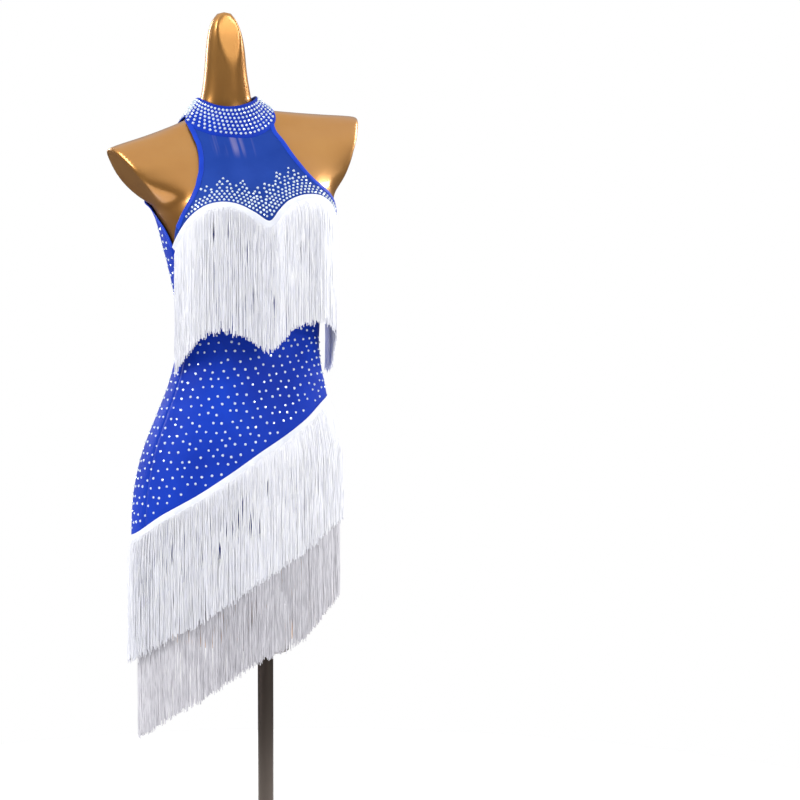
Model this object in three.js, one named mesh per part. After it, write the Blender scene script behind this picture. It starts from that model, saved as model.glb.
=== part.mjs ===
// A latin dance dress on a limbless dress form, with a pole and a round foot.
// Millimetres, +Z up. The form faces -Y and its left side is +X. The pole's axis is the Z axis
// and the floor is Z = 0.
// A place on the body is an angle and a height: the angle runs from the front (0) to the form's
// left (90) and the back (180), and the height is the section's, before the section's tilt.
import * as THREE from 'three';

const DEG = Math.PI / 180;

// ---------------------------------------------------------------- stand sizes
const FOOT_DIAMETER = 340;
const FOOT_THICKNESS = 8;
const HUB_DIAMETER = 62;
const HUB_HEIGHT = 26;
const POLE_DIAMETER = 25;
const SOCKET_DIAMETER = 74;
const SOCKET_HEIGHT = 14;
const FORM_BOTTOM = 516;
const TOUCH_GAP = 0.3;

// ---------------------------------------------------------------- cloth sizes
const CLOTH_GAP = 3;
const CLOTH = 1.5;
const TRIM_GAP = 1.4;
const TRIM = 1.2;
const TAPE_WIDTH = 10;
const BINDING_WIDTH = 8;
const FRINGE_LENGTH = 188;
const FRINGE_THICKNESS = 3;
const TIER_STEP = 122;
const LOWER_DIP = 19;
const HEM_BELOW_TAPE = 30;
const FRINGE_GAP = 1.4;
const BUST_FRINGE_GAP = 3;
const UPPER_TIER_OUT = 5;
const UPPER_TIER_RAMP = 80;
const COLLAR_STAND_OFF = 4;
const COLLAR_CLEAR = 2;
const TAB_MIDDLE = 183;
const TAB_HALF_ANGLE = 6;
const STRAP_WIDTH = 8.5;
const STRAP_THICKNESS = 1.2;

// ---------------------------------------------------------------- the form's sections
// height, centre x and y, half width at the side, depth to the front and to the back,
// squareness of the outline, and the tilt in degrees that lifts the form's left side.
const SECTIONS = [
  [516, -40, 8, 70, 50, 55, 2.2, 0],
  [530, -44, 8, 112, 73, 82, 2.2, 1],
  [560, -48, 8, 140, 84, 96, 2.2, 4],
  [600, -49, 8, 154, 91, 104, 2.2, 6.5],
  [660, -48, 8, 161, 96, 111, 2.2, 7],
  [720, -46, 8, 163, 99, 113, 2.2, 7],
  [780, -45, 6, 161, 100, 107, 2.2, 7],
  [840, -43, 3, 151, 97, 93, 2.2, 7],
  [900, -38, 0, 133, 88, 77, 2.2, 7],
  [950, -33, -3, 118, 79, 67, 2.2, 6],
  [1000, -29, -4, 111, 74, 64, 2.2, 4],
  [1050, -27, -1, 112, 76, 71, 2.2, 1],
  [1100, -27, 3, 119, 81, 82, 2.2, 0],
  [1150, -28, 6, 129, 89, 90, 2.2, 1],
  [1195, -29, 8, 138, 96, 94, 2.2, 3],
  [1225, -30, 13, 149, 93, 91, 2.2, 5],
  [1250, -31, 18, 185, 88, 88, 2.2, 7],
  [1275, -32, 23, 225, 78, 81, 2.2, 8.5],
  [1300, -33, 27, 250, 67, 72, 2.1, 9],
  [1320, -34, 30, 240, 54, 60, 2.0, 9],
  [1333, -36, 31, 200, 46, 51, 2.0, 9],
  [1342, -40, 31, 148, 43, 46, 2.0, 9],
  [1350, -47, 30, 103, 42, 44, 2.0, 9],
  [1358, -53, 28, 66, 41, 43, 2.0, 8.5],
  [1366, -55, 26, 50, 40, 42, 2.0, 8],
  [1376, -57, 23, 43, 39, 41, 2.0, 7],
  [1390, -58, 17, 38.5, 37, 39, 2.0, 6],
  [1420, -62, 5, 33.5, 33, 36, 2.0, 5],
  [1455, -67, -9, 30, 30, 33, 2.0, 4],
  [1478, -71, -18, 26, 27, 28, 2.0, 2],
  [1496, -74, -24, 19.5, 20, 21, 2.0, 2],
  [1507, -75, -27, 11, 11, 11, 2.0, 2],
];

// Soft swellings of the form: angle, height, spread of the angle, reach above and below, and how
// far they stand out. A negative one is a groove. Each is made on both sides.
const SWELLINGS = [
  [33, 1190, 28, 62, 52, 37],
  [150, 780, 24, 70, 80, 9],
  [142, 1225, 20, 45, 70, 5],
  [180, 1100, 9, 120, 110, -3],
];

// The cloth bridges the hollow between the cups.
const BRIDGE = [0, 1188, 20, 60, 60, 9];

// The flat ends of the arms: how far out from the middle at this height, and how that distance
// shrinks going down, for the form's right and left.
const ARM_CUT_HEIGHT = 1318;
const ARM_CUT_REACH_RIGHT = 203;
const ARM_CUT_REACH_LEFT = 196;
const ARM_CUT_SLOPE_RIGHT = 0.6;
const ARM_CUT_SLOPE_LEFT = 0.51;
const ARM_CUT_LEAST = 146;
const ARM_CUT_FROM = 1185;
const ARM_CUT_ROUNDING = 10;

// The flat oval at the front of the neck: a plane through a point, leaning back.
const NECK_CUT_LOW = 1428;
const NECK_CUT_DEPTH = 32;
const NECK_CUT_LEAN = 0.26;
const NECK_CUT_ROUNDING = 3;

// ---------------------------------------------------------------- pattern lines
// Angle and height of each line's points, going round or up.
const SWEETHEART = [
  [-78, 1148], [-70, 1165], [-58, 1187], [-50, 1200], [-42, 1210], [-34, 1213], [-25, 1209],
  [-14, 1196], [-3, 1184], [5, 1198], [14, 1211], [28, 1218], [38, 1215], [48, 1201], [60, 1181],
  [75, 1157], [90, 1146],
];
const ARMHOLE_FRONT_LEFT = [
  [74, 1158], [66, 1186], [58, 1208], [50, 1222], [43, 1232], [39, 1243], [37.5, 1258],
  [37.5, 1280], [38, 1300], [40, 1320], [46, 1340],
];
const ARMHOLE_FRONT_RIGHT = [
  [-76, 1152], [-70, 1177], [-64, 1191], [-59, 1206], [-55, 1221], [-52, 1236], [-50.5, 1250],
  [-50.5, 1266], [-51.5, 1282], [-53.5, 1298], [-57, 1312], [-62, 1326], [-70, 1346],
];
const ARMHOLE_BACK_LEFT = [
  [90, 1147], [92, 1160], [99, 1178], [108, 1206], [115, 1234], [120.5, 1260], [122.5, 1286],
  [121, 1314], [118, 1340],
];
const ARMHOLE_BACK_RIGHT = [
  [282, 1149], [280, 1166], [276, 1182], [270, 1198], [262, 1214], [255, 1232], [245, 1248],
  [240, 1264], [238, 1282], [239, 1302], [240, 1318], [238, 1338],
];
const OPENING_SIDE = [
  [128, 1094], [127, 1127], [129, 1166], [131, 1202], [134, 1242], [137, 1280], [139, 1320],
];
const OPENING_BOTTOM = [
  [128, 1094], [134, 1064], [146, 1037], [161, 1019], [180, 1012],
];
const HIP_LINE = [
  [-104, 712], [-84, 724], [-66, 752], [-48, 775], [-30, 797], [-4, 824], [24, 848], [42, 866],
  [62, 889], [80, 896], [98, 883], [116, 869], [146, 851], [180, 833], [214, 811], [229, 784],
  [243, 742], [256, 712],
];
const COLLAR_BOTTOM = [
  [-180, 1318], [-140, 1324], [-110, 1352], [-90, 1360], [-74, 1352], [-61, 1337], [-50, 1327],
  [-28, 1319], [0, 1315], [25, 1320], [45, 1332], [62, 1351], [90, 1365], [110, 1352],
  [140, 1324], [180, 1318],
];
const COLLAR_TOP = [
  [-180, 1366], [-120, 1374], [-80, 1384], [-56, 1378], [-28, 1370], [0, 1368], [28, 1370],
  [50, 1374], [80, 1380], [120, 1374], [180, 1366],
];

// The straps' middle lines, from under the collar down to the free end: x, y and z.
const STRAPS = {
  strap_left: [
    [-11.5, 94.5, 1321], [-12.5, 103, 1302], [-14, 110, 1278], [-14, 113.5, 1255], [-15, 115.5, 1230],
    [-16, 116.5, 1200], [-16, 117, 1165], [-16, 117, 1130], [-16, 117, 1095], [-16, 117, 1060],
    [-16, 117, 1025], [-15, 117, 990], [-14, 117, 955], [-14, 117, 920], [-14, 117, 887],
  ],
  strap_middle: [
    [-54, 94.8, 1314.5], [-53, 103.5, 1295], [-50, 111, 1272], [-48, 115, 1248], [-45, 117.5, 1220],
    [-42, 119, 1185], [-38, 119.5, 1145], [-33, 119.5, 1098], [-29, 119.5, 1060],
    [-26, 119.5, 1028], [-23, 119.5, 1000], [-23, 119.5, 968], [-27, 119.5, 935],
    [-34, 119.5, 900], [-42, 119.5, 866], [-48, 119.5, 836],
  ],
  strap_right: [
    [-81, 93, 1314], [-80, 103, 1298], [-76, 110, 1276], [-71, 115, 1250], [-65, 118.5, 1222],
    [-58, 121, 1190], [-52, 122, 1150], [-46, 122, 1108], [-38, 122, 1065], [-32, 122, 1035],
    [-31, 122, 1015], [-35, 122, 995], [-43, 122, 968], [-49, 122, 938], [-50, 122, 904],
    [-50, 122, 872],
  ],
};

// ---------------------------------------------------------------- curves through tables
// A curve through the points that never overshoots them.
function curve(xs, ys) {
  const last = xs.length - 1;
  const steps = xs.slice(1).map((x, i) => (ys[i + 1] - ys[i]) / (x - xs[i]));
  const slopes = xs.map((x, i) => {
    if (i === 0) return steps[0];
    if (i === last) return steps[last - 1];
    if (steps[i - 1] * steps[i] <= 0) return 0;
    const mean = (ys[i + 1] - ys[i - 1]) / (xs[i + 1] - xs[i - 1]);
    const most = 3 * Math.min(Math.abs(steps[i - 1]), Math.abs(steps[i]));
    return Math.sign(mean) * Math.min(Math.abs(mean), most);
  });
  return (x) => {
    let i = 0;
    while (i < last - 1 && x > xs[i + 1]) i += 1;
    const width = xs[i + 1] - xs[i];
    const t = Math.min(Math.max((x - xs[i]) / width, 0), 1);
    const rise = t * t * (3 - 2 * t);
    const bendStart = t * (1 - t) * (1 - t) * width;
    const bendEnd = t * t * (t - 1) * width;
    return ys[i] * (1 - rise) + ys[i + 1] * rise + slopes[i] * bendStart + slopes[i + 1] * bendEnd;
  };
}

// A line of [angle, height] points as a function of its share of the way along, 0 to 1.
function line(points) {
  const marks = [0];
  for (let i = 1; i < points.length; i += 1) {
    const turn = (points[i][0] - points[i - 1][0]) * 2.2;
    marks.push(marks[i - 1] + Math.hypot(turn, points[i][1] - points[i - 1][1]));
  }
  const shares = marks.map((mark) => mark / marks[marks.length - 1]);
  const angleAt = curve(shares, points.map((point) => point[0]));
  const heightAt = curve(shares, points.map((point) => point[1]));
  return (share) => [angleAt(share), heightAt(share)];
}

// A line's height as a function of the angle.
function heightOver(points) {
  return curve(points.map((point) => point[0]), points.map((point) => point[1]));
}

const straight = (from, to) => (share) => [
  from[0] + (to[0] - from[0]) * share,
  from[1] + (to[1] - from[1]) * share,
];

// ---------------------------------------------------------------- the body's surface
const sectionHeights = SECTIONS.map((row) => row[0]);
const sectionColumn = (index) => curve(sectionHeights, SECTIONS.map((row) => row[index]));
const centreX = sectionColumn(1);
const centreY = sectionColumn(2);
const halfWidth = sectionColumn(3);
const frontDepth = sectionColumn(4);
const backDepth = sectionColumn(5);
const squareness = sectionColumn(6);
const tilt = sectionColumn(7);

function softMin(a, b, rounding) {
  const share = Math.min(Math.max(0.5 + (0.5 * (b - a)) / rounding, 0), 1);
  return b * (1 - share) + a * share - rounding * share * (1 - share);
}

function swelling([at, height, spread, above, below, out], angle, here) {
  const reach = here > height ? above : below;
  const rise = Math.exp(-(((here - height) / reach) ** 2));
  let total = 0;
  for (const side of at === 0 || at === 180 ? [1] : [1, -1]) {
    let turn = (angle / DEG - side * at) % 360;
    if (turn > 180) turn -= 360;
    if (turn < -180) turn += 360;
    total += out * rise * Math.exp(-((turn / spread) ** 2));
  }
  return total;
}

function bodyRadius(angle, height) {
  const sine = Math.sin(angle);
  const cosine = Math.cos(angle);
  const depth = cosine > 0 ? frontDepth(height) : backDepth(height);
  const power = squareness(height);
  const sum = Math.abs(sine / halfWidth(height)) ** power + Math.abs(cosine / depth) ** power;
  let radius = sum ** (-1 / power);
  if (height > ARM_CUT_FROM) {
    const slope = sine < 0 ? ARM_CUT_SLOPE_RIGHT : ARM_CUT_SLOPE_LEFT;
    const level = sine < 0 ? ARM_CUT_REACH_RIGHT : ARM_CUT_REACH_LEFT;
    const reach = Math.max(level + slope * (height - ARM_CUT_HEIGHT), ARM_CUT_LEAST);
    radius = softMin(radius, reach / Math.max(Math.abs(sine), 0.001), ARM_CUT_ROUNDING);
  }
  if (height > NECK_CUT_LOW - 60 && cosine > 0.05) {
    const depthLeft = NECK_CUT_DEPTH - NECK_CUT_LEAN * (height - NECK_CUT_LOW);
    radius = softMin(radius, Math.max(depthLeft, 2) / cosine, NECK_CUT_ROUNDING);
  }
  for (const row of SWELLINGS) radius += swelling(row, angle, height);
  return radius;
}

const clothRadius = (angle, height) => bodyRadius(angle, height) + swelling(BRIDGE, angle, height);

function place(radius, angle, height) {
  const across = radius * Math.sin(angle);
  return new THREE.Vector3(
    centreX(height) + across,
    centreY(height) - radius * Math.cos(angle),
    height + across * Math.tan(tilt(height) * DEG),
  );
}

// The outward direction of the cloth's surface at an angle and a height.
function facing(angle, height) {
  const turn = 1.2 * DEG;
  const rise = 2;
  const along = place(clothRadius(angle + turn, height), angle + turn, height)
    .sub(place(clothRadius(angle - turn, height), angle - turn, height));
  const up = place(clothRadius(angle, height + rise), angle, height + rise)
    .sub(place(clothRadius(angle, height - rise), angle, height - rise));
  return along.cross(up).normalize();
}

function onCloth(degrees, height, out) {
  const angle = degrees * DEG;
  return place(clothRadius(angle, height), angle, height)
    .addScaledVector(facing(angle, height), out);
}

// How far the layers lie out from the form.
const clothInner = CLOTH_GAP;
const clothOuter = CLOTH_GAP + CLOTH;
const trimInner = clothOuter + TRIM_GAP;
const trimOuter = trimInner + TRIM;

// ---------------------------------------------------------------- closed solids
function meshOf(name, vertices, faces, material) {
  const geometry = new THREE.BufferGeometry();
  geometry.setAttribute('position', new THREE.Float32BufferAttribute(vertices.flat(), 3));
  geometry.setIndex(faces.flat());
  geometry.computeVertexNormals();
  const mesh = new THREE.Mesh(geometry, material);
  mesh.name = name;
  return mesh;
}

// A wall between two layers of the same grid of points. rows[j][i] goes left to right as seen
// from outside and then up; the last column joins the first where the wall goes all round.
function wall(name, outerRows, innerRows, goesRound, material) {
  const rowCount = outerRows.length;
  const columnCount = outerRows[0].length;
  const layer = rowCount * columnCount;
  const vertices = [...outerRows.flat(), ...innerRows.flat()].map((point) => point.toArray());
  const faces = [];
  const quad = (a, b, c, d) => faces.push([a, b, c], [a, c, d]);
  const at = (row, column, inner) => inner * layer + row * columnCount + (column % columnCount);
  const cells = goesRound ? columnCount : columnCount - 1;
  for (let i = 0; i < cells; i += 1) {
    for (let j = 0; j < rowCount - 1; j += 1) {
      quad(at(j, i, 0), at(j, i + 1, 0), at(j + 1, i + 1, 0), at(j + 1, i, 0));
      quad(at(j, i, 1), at(j + 1, i, 1), at(j + 1, i + 1, 1), at(j, i + 1, 1));
    }
    const top = rowCount - 1;
    quad(at(0, i, 0), at(0, i, 1), at(0, i + 1, 1), at(0, i + 1, 0));
    quad(at(top, i, 0), at(top, i + 1, 0), at(top, i + 1, 1), at(top, i, 1));
  }
  for (let j = 0; j < rowCount - 1 && !goesRound; j += 1) {
    const end = columnCount - 1;
    quad(at(j, 0, 0), at(j + 1, 0, 0), at(j + 1, 0, 1), at(j, 0, 1));
    quad(at(j, end, 0), at(j, end, 1), at(j + 1, end, 1), at(j + 1, end, 0));
  }
  return meshOf(name, vertices, faces, material);
}

// Several grids of [angle, height] places that share their edges, as one wall of cloth.
function panel(name, grids, inner, outer, material) {
  const places = [];
  const known = new Map();
  const cells = [];
  const indexOf = ([degrees, height]) => {
    const key = `${((degrees + 360) % 360).toFixed(3)} ${height.toFixed(3)}`;
    if (!known.has(key)) {
      known.set(key, places.length);
      places.push([degrees, height]);
    }
    return known.get(key);
  };
  for (const rows of grids) {
    for (let j = 0; j < rows.length - 1; j += 1) {
      for (let i = 0; i < rows[j].length - 1; i += 1) {
        const corners = [rows[j][i], rows[j][i + 1], rows[j + 1][i + 1], rows[j + 1][i]];
        const [a, b, c, d] = corners.map(indexOf);
        cells.push([a, b, c], [a, c, d]);
      }
    }
  }
  const triangles = cells.filter(([a, b, c]) => a !== b && b !== c && a !== c);
  const count = places.length;
  const faces = [];
  const edges = new Set();
  for (const [a, b, c] of triangles) {
    faces.push([a, b, c], [count + a, count + c, count + b]);
    for (const [from, to] of [[a, b], [b, c], [c, a]]) edges.add(`${from} ${to}`);
  }
  for (const edge of edges) {
    const [from, to] = edge.split(' ').map(Number);
    if (edges.has(`${to} ${from}`)) continue;
    faces.push([from, count + from, count + to], [from, count + to, to]);
  }
  const layer = (out) => places.map(([degrees, height]) => onCloth(degrees, height, out).toArray());
  return meshOf(name, [...layer(outer), ...layer(inner)], faces, material);
}

// Places that fill the region inside four lines: the bottom and top run left to right, and the
// left and right run upwards. They meet at the corners. Crowding above 1 sets rows closer
// together towards the top.
function fill(bottom, top, left, right, columns, rows, crowding = 1) {
  const grid = [];
  for (let j = 0; j <= rows; j += 1) {
    const s = 1 - (1 - j / rows) ** crowding;
    const row = [];
    for (let i = 0; i <= columns; i += 1) {
      const t = i / columns;
      row.push([0, 1].map((k) => (1 - s) * bottom(t)[k] + s * top(t)[k]
        + (1 - t) * left(s)[k] + t * right(s)[k]
        - (1 - s) * (1 - t) * bottom(0)[k] - (1 - s) * t * bottom(1)[k]
        - s * (1 - t) * top(0)[k] - s * t * top(1)[k]));
    }
    grid.push(row);
  }
  return grid;
}

// The place at this distance from a line's point, to the right of the way along it.
function beside(along, share, distance, loops) {
  const bounded = (value) => (loops ? value : Math.min(Math.max(value, 0), 1));
  const [degrees, height] = along(share);
  const middle = onCloth(degrees, height, 0);
  const forward = onCloth(...along(bounded(share + 0.01)), 0)
    .sub(onCloth(...along(bounded(share - 0.01)), 0));
  const across = forward.cross(facing(degrees * DEG, height)).normalize();
  const perDegree = onCloth(degrees + 1, height, 0).sub(middle);
  const perHeight = onCloth(degrees, height + 1, 0).sub(middle);
  const skew = perDegree.dot(perHeight);
  const degreeSquare = perDegree.dot(perDegree);
  const heightSquare = perHeight.dot(perHeight);
  const share1 = perDegree.dot(across);
  const share2 = perHeight.dot(across);
  const scale = distance / (degreeSquare * heightSquare - skew * skew);
  return [
    degrees + scale * (share1 * heightSquare - share2 * skew),
    height + scale * (share2 * degreeSquare - share1 * skew),
  ];
}

// A strip that lies on the cloth beside a line.
function strip(name, along, steps, from, width, loops, finish) {
  const edge = (distance) => Array.from(
    { length: steps + 1 },
    (unused, i) => beside(along, i / steps, distance, loops),
  );
  return panel(name, [[edge(from + width), edge(from)]], trimInner, trimOuter, finish);
}

// ---------------------------------------------------------------- hanging fringe
// The way down from a point: straight, but pushed out wherever the dressed body fills it. Its
// steps are closer together near the top.
const HANG_CROWDING = 1.6;
function hang(start, length, steps, standOff) {
  const path = [start.clone()];
  const here = start.clone();
  for (let k = 1; k <= steps; k += 1) {
    const drop = length * (k / steps) ** HANG_CROWDING;
    here.z = start.z - drop;
    const level = Math.max(here.z, FORM_BOTTOM);
    let height = level;
    for (let turn = 0; turn < 6; turn += 1) {
      height = level - (here.x - centreX(height)) * Math.tan(tilt(height) * DEG);
    }
    const across = here.x - centreX(height);
    const forward = centreY(height) - here.y;
    const angle = Math.atan2(across, forward);
    const least = clothRadius(angle, height) + standOff(drop);
    const radius = Math.hypot(across, forward);
    if (radius < least) {
      here.x = centreX(height) + least * Math.sin(angle);
      here.y = centreY(height) - least * Math.cos(angle);
    }
    path.push(here.clone());
  }
  return path;
}

// A fringe's reach below a line on the cloth: inner and outer layers from the same paths.
function fringe(name, along, columns, goesRound, standOff) {
  const steps = 6;
  const count = goesRound ? columns : columns + 1;
  const inner = Array.from({ length: steps + 1 }, () => []);
  const outer = Array.from({ length: steps + 1 }, () => []);
  for (let i = 0; i < count; i += 1) {
    const [degrees, height] = beside(along, i / columns, TAPE_WIDTH + 1, goesRound);
    const start = onCloth(degrees, height, trimInner + 0.4);
    const path = hang(start, FRINGE_LENGTH, steps, standOff);
    path.forEach((point, k) => {
      const centre = new THREE.Vector3(centreX(height), centreY(height), point.z);
      const out = point.clone().sub(centre).normalize();
      inner[steps - k].push(point);
      outer[steps - k].push(point.clone().addScaledVector(out, FRINGE_THICKNESS));
    });
  }
  return wall(name, outer, inner, goesRound, whiteFringe());
}

// ---------------------------------------------------------------- materials
const material = (color, roughness, metalness) => (
  new THREE.MeshStandardMaterial({ color, roughness, metalness })
);
const blueStretch = () => material(0x1a47d6, 0.6, 0);
const sheerBlue = () => material(0x2d4baa, 0.7, 0);
const whiteFringe = () => material(0xf0f0f6, 0.5, 0);
const whiteTape = () => material(0xf2f2f6, 0.6, 0);
const bronzeForm = () => material(0xb9823c, 0.3, 0.8);
const darkSteel = () => material(0x4a4744, 0.35, 0.9);

const dress = new THREE.Group();

// ---------------------------------------------------------------- the form and its stand
function formTorso() {
  const columns = 40;
  const heights = [];
  for (let i = 0; i < SECTIONS.length - 1; i += 1) {
    const from = sectionHeights[i];
    const to = sectionHeights[i + 1];
    const parts = Math.max(1, Math.round((to - from) / 24));
    for (let k = 0; k < parts; k += 1) heights.push(from + ((to - from) * k) / parts);
  }
  heights.push(sectionHeights[sectionHeights.length - 1]);
  const vertices = [];
  for (const height of heights) {
    for (let i = 0; i < columns; i += 1) {
      const angle = (i / columns) * 2 * Math.PI;
      vertices.push(place(bodyRadius(angle, height), angle, height).toArray());
    }
  }
  const low = vertices.length;
  const first = heights[0];
  const last = heights[heights.length - 1];
  vertices.push([centreX(first), centreY(first), first]);
  vertices.push([centreX(last), centreY(last), last + 3]);
  const faces = [];
  for (let i = 0; i < columns; i += 1) {
    const next = (i + 1) % columns;
    for (let j = 0; j < heights.length - 1; j += 1) {
      const a = j * columns + i;
      const b = j * columns + next;
      faces.push([a, b, b + columns], [a, b + columns, a + columns]);
    }
    const topRow = (heights.length - 1) * columns;
    faces.push([low, next, i], [low + 1, topRow + i, topRow + next]);
  }
  return meshOf('form_torso', vertices, faces, bronzeForm());
}

function turned(name, profile, sides, finish) {
  const geometry = new THREE.LatheGeometry(
    profile.map(([radius, height]) => new THREE.Vector2(radius, height)),
    sides,
  );
  geometry.rotateX(Math.PI / 2);
  const mesh = new THREE.Mesh(geometry, finish);
  mesh.name = name;
  return mesh;
}

const footTop = FOOT_THICKNESS;
const hubTop = footTop + TOUCH_GAP + HUB_HEIGHT;
const socketTop = FORM_BOTTOM - TOUCH_GAP;
const socketBottom = socketTop - SOCKET_HEIGHT;
const footRadius = FOOT_DIAMETER / 2;
const hubRadius = HUB_DIAMETER / 2;
const poleRadius = POLE_DIAMETER / 2;
const socketRadius = SOCKET_DIAMETER / 2;
const EDGE = 2;

dress.add(formTorso());
dress.add(turned('foot_plate', [
  [0, 0], [footRadius, 0], [footRadius, footTop - EDGE], [footRadius - EDGE, footTop], [0, footTop],
], 48, darkSteel()));
dress.add(turned('foot_hub', [
  [0, footTop + TOUCH_GAP], [hubRadius, footTop + TOUCH_GAP], [hubRadius, footTop + 8],
  [poleRadius + 5, hubTop], [0, hubTop],
], 32, darkSteel()));
dress.add(turned('pole', [
  [0, hubTop + TOUCH_GAP], [poleRadius, hubTop + TOUCH_GAP],
  [poleRadius, socketBottom - TOUCH_GAP], [0, socketBottom - TOUCH_GAP],
], 24, darkSteel()));
dress.add(turned('pole_socket', [
  [0, socketBottom], [poleRadius + 6, socketBottom], [socketRadius, socketTop - 5],
  [socketRadius, socketTop], [0, socketTop],
], 32, darkSteel()));

// ---------------------------------------------------------------- the dress
const halfTurn = (degrees) => (degrees > 180 ? degrees - 360 : degrees);
const collarBottom = heightOver(COLLAR_BOTTOM);
const collarBottomHeight = (degrees) => collarBottom(halfTurn(degrees));
const collarTop = heightOver(COLLAR_TOP);
const collarTopHeight = (degrees) => collarTop(halfTurn(degrees));
const hipStart = HIP_LINE[0][0];
const hipOver = heightOver(HIP_LINE);
const hipHeight = (degrees) => hipOver(hipStart + ((degrees - hipStart + 720) % 360));
const hipAngle = (share) => hipStart + 360 * share;
const upperTape = (share) => [hipAngle(share), hipHeight(hipAngle(share))];
const lowerStep = (degrees) => TIER_STEP + LOWER_DIP * Math.exp(-(((degrees - 35) / 29) ** 2));
const lowerTape = (share) => {
  const degrees = hipAngle(share);
  return [degrees, hipHeight(degrees) - lowerStep(degrees)];
};
const hemHeight = (degrees) => hipHeight(degrees) - TIER_STEP - HEM_BELOW_TAPE;

// Half of a seam's gap, as an angle, at the side seams.
const SEAM = 0.08;
const SEAM_RISE = 0.9;
const SIDE_LEFT = 90;
const SIDE_RIGHT = -78;

const sweetheart = line(SWEETHEART);

function frontBody() {
  const middle = (SIDE_LEFT + SIDE_RIGHT) / 2;
  const half = (SIDE_LEFT - SIDE_RIGHT) / 2;
  const inside = (degrees) => middle + (degrees - middle) * (1 - SEAM / half);
  const hem = (t) => {
    const degrees = inside(middle + half * (2 * t - 1));
    return [degrees, hemHeight(degrees)];
  };
  const top = (t) => {
    const [degrees, height] = sweetheart(t);
    return [inside(degrees), height - SEAM_RISE];
  };
  return panel(
    'front_body',
    [fill(hem, top, straight(hem(0), top(0)), straight(hem(1), top(1)), 36, 20, 1.4)],
    clothInner, clothOuter, blueStretch(),
  );
}

// The share of the way along the sweetheart where the angle is reached.
function shareAtAngle(along, degrees) {
  let low = 0;
  let high = 1;
  for (let turn = 0; turn < 40; turn += 1) {
    const middle = (low + high) / 2;
    if (along(middle)[0] < degrees) low = middle;
    else high = middle;
  }
  return low;
}

const collarEdge = (degrees) => [degrees, collarBottomHeight(degrees) - 1];

function yoke() {
  const sides = [ARMHOLE_FRONT_RIGHT, ARMHOLE_FRONT_LEFT];
  const [from, to] = sides.map((points) => shareAtAngle(sweetheart, points[0][0]));
  const [topFrom, topTo] = sides.map((points) => points[points.length - 1][0]);
  const bottom = (t) => {
    const [degrees, height] = sweetheart(from + (to - from) * t);
    return [degrees, height + SEAM_RISE];
  };
  const top = (t) => collarEdge(topFrom + (topTo - topFrom) * t);
  const [right, left] = sides.map((points, t) => (
    line([bottom(t), ...points.slice(1, -1), top(t)])
  ));
  return panel('yoke', [fill(bottom, top, right, left, 32, 12)],
    clothInner, clothOuter, sheerBlue());
}

function backBody() {
  const edgeLeft = SIDE_LEFT + SEAM;
  const edgeRight = 360 + SIDE_RIGHT - SEAM;
  const shoulder = OPENING_SIDE[0];
  const span = edgeRight - edgeLeft;
  const arcColumns = 16;
  const hem = (degrees) => [degrees, hemHeight(degrees)];
  const around = (points) => points.map(([degrees, height]) => [360 - degrees, height]);
  const shares = [0, (shoulder[0] - edgeLeft) / span, (360 - shoulder[0] - edgeLeft) / span, 1];
  const arc = line([...OPENING_BOTTOM, ...around(OPENING_BOTTOM).reverse().slice(1)]);
  const crossLevel = shoulder[1];
  const leftCross = straight([edgeLeft, crossLevel], shoulder);
  const rightCross = straight([360 - shoulder[0], crossLevel], [edgeRight, crossLevel]);
  const piece = (index, top, columns) => {
    const bottom = (t) => hem(edgeLeft
      + span * (shares[index] + (shares[index + 1] - shares[index]) * t));
    return fill(bottom, top, straight(bottom(0), top(0)), straight(bottom(1), top(1)), columns, 13);
  };
  const sideOf = (edge, points) => [
    [edge, crossLevel], [edge, points[0][1]], ...points.slice(1, -1),
    collarEdge(points[points.length - 1][0]),
  ];
  const leftArm = sideOf(edgeLeft, ARMHOLE_BACK_LEFT);
  const rightArm = sideOf(edgeRight, ARMHOLE_BACK_RIGHT);
  const opening = [...OPENING_SIDE.slice(0, -1), collarEdge(OPENING_SIDE[OPENING_SIDE.length - 1][0])];
  const rim = (from, to) => (t) => collarEdge(from + (to - from) * t);
  const topOf = (points) => points[points.length - 1][0];
  const leftBand = fill(leftCross, rim(topOf(leftArm), topOf(opening)), line(leftArm),
    line(opening), 6, 18);
  const rightBand = fill(rightCross, rim(360 - topOf(opening), topOf(rightArm)),
    line(around(opening)), line(rightArm), 8, 20);
  return panel('back_body', [
    piece(0, leftCross, 6),
    piece(1, arc, arcColumns),
    piece(2, rightCross, 8),
    leftBand,
    rightBand,
  ], clothInner, clothOuter, blueStretch());
}

dress.add(frontBody());
dress.add(yoke());
dress.add(backBody());

// The collar stands off the neck towards its top, and its ends meet at the middle of the back.
const COLLAR_END = 178;
const collarFoot = (degrees, out) => onCloth(degrees, collarBottomHeight(degrees), out);
const collarRim = (degrees, out) => onCloth(degrees, collarTopHeight(degrees), out);

function collarWall(name, from, to, columns, rows, extra, finish) {
  const layer = (out) => Array.from({ length: rows + 1 }, (unusedRow, j) => (
    Array.from({ length: columns + 1 }, (unusedColumn, i) => {
      const degrees = from + ((to - from) * i) / columns;
      const foot = collarFoot(degrees, clothInner + out);
      const rim = collarRim(degrees, clothInner + COLLAR_STAND_OFF + out);
      return foot.lerp(rim, j / rows);
    })
  ));
  return wall(name, layer(extra + CLOTH), layer(extra), false, finish);
}

dress.add(collarWall('collar', -COLLAR_END, COLLAR_END, 44, 1, 0, blueStretch()));

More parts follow.
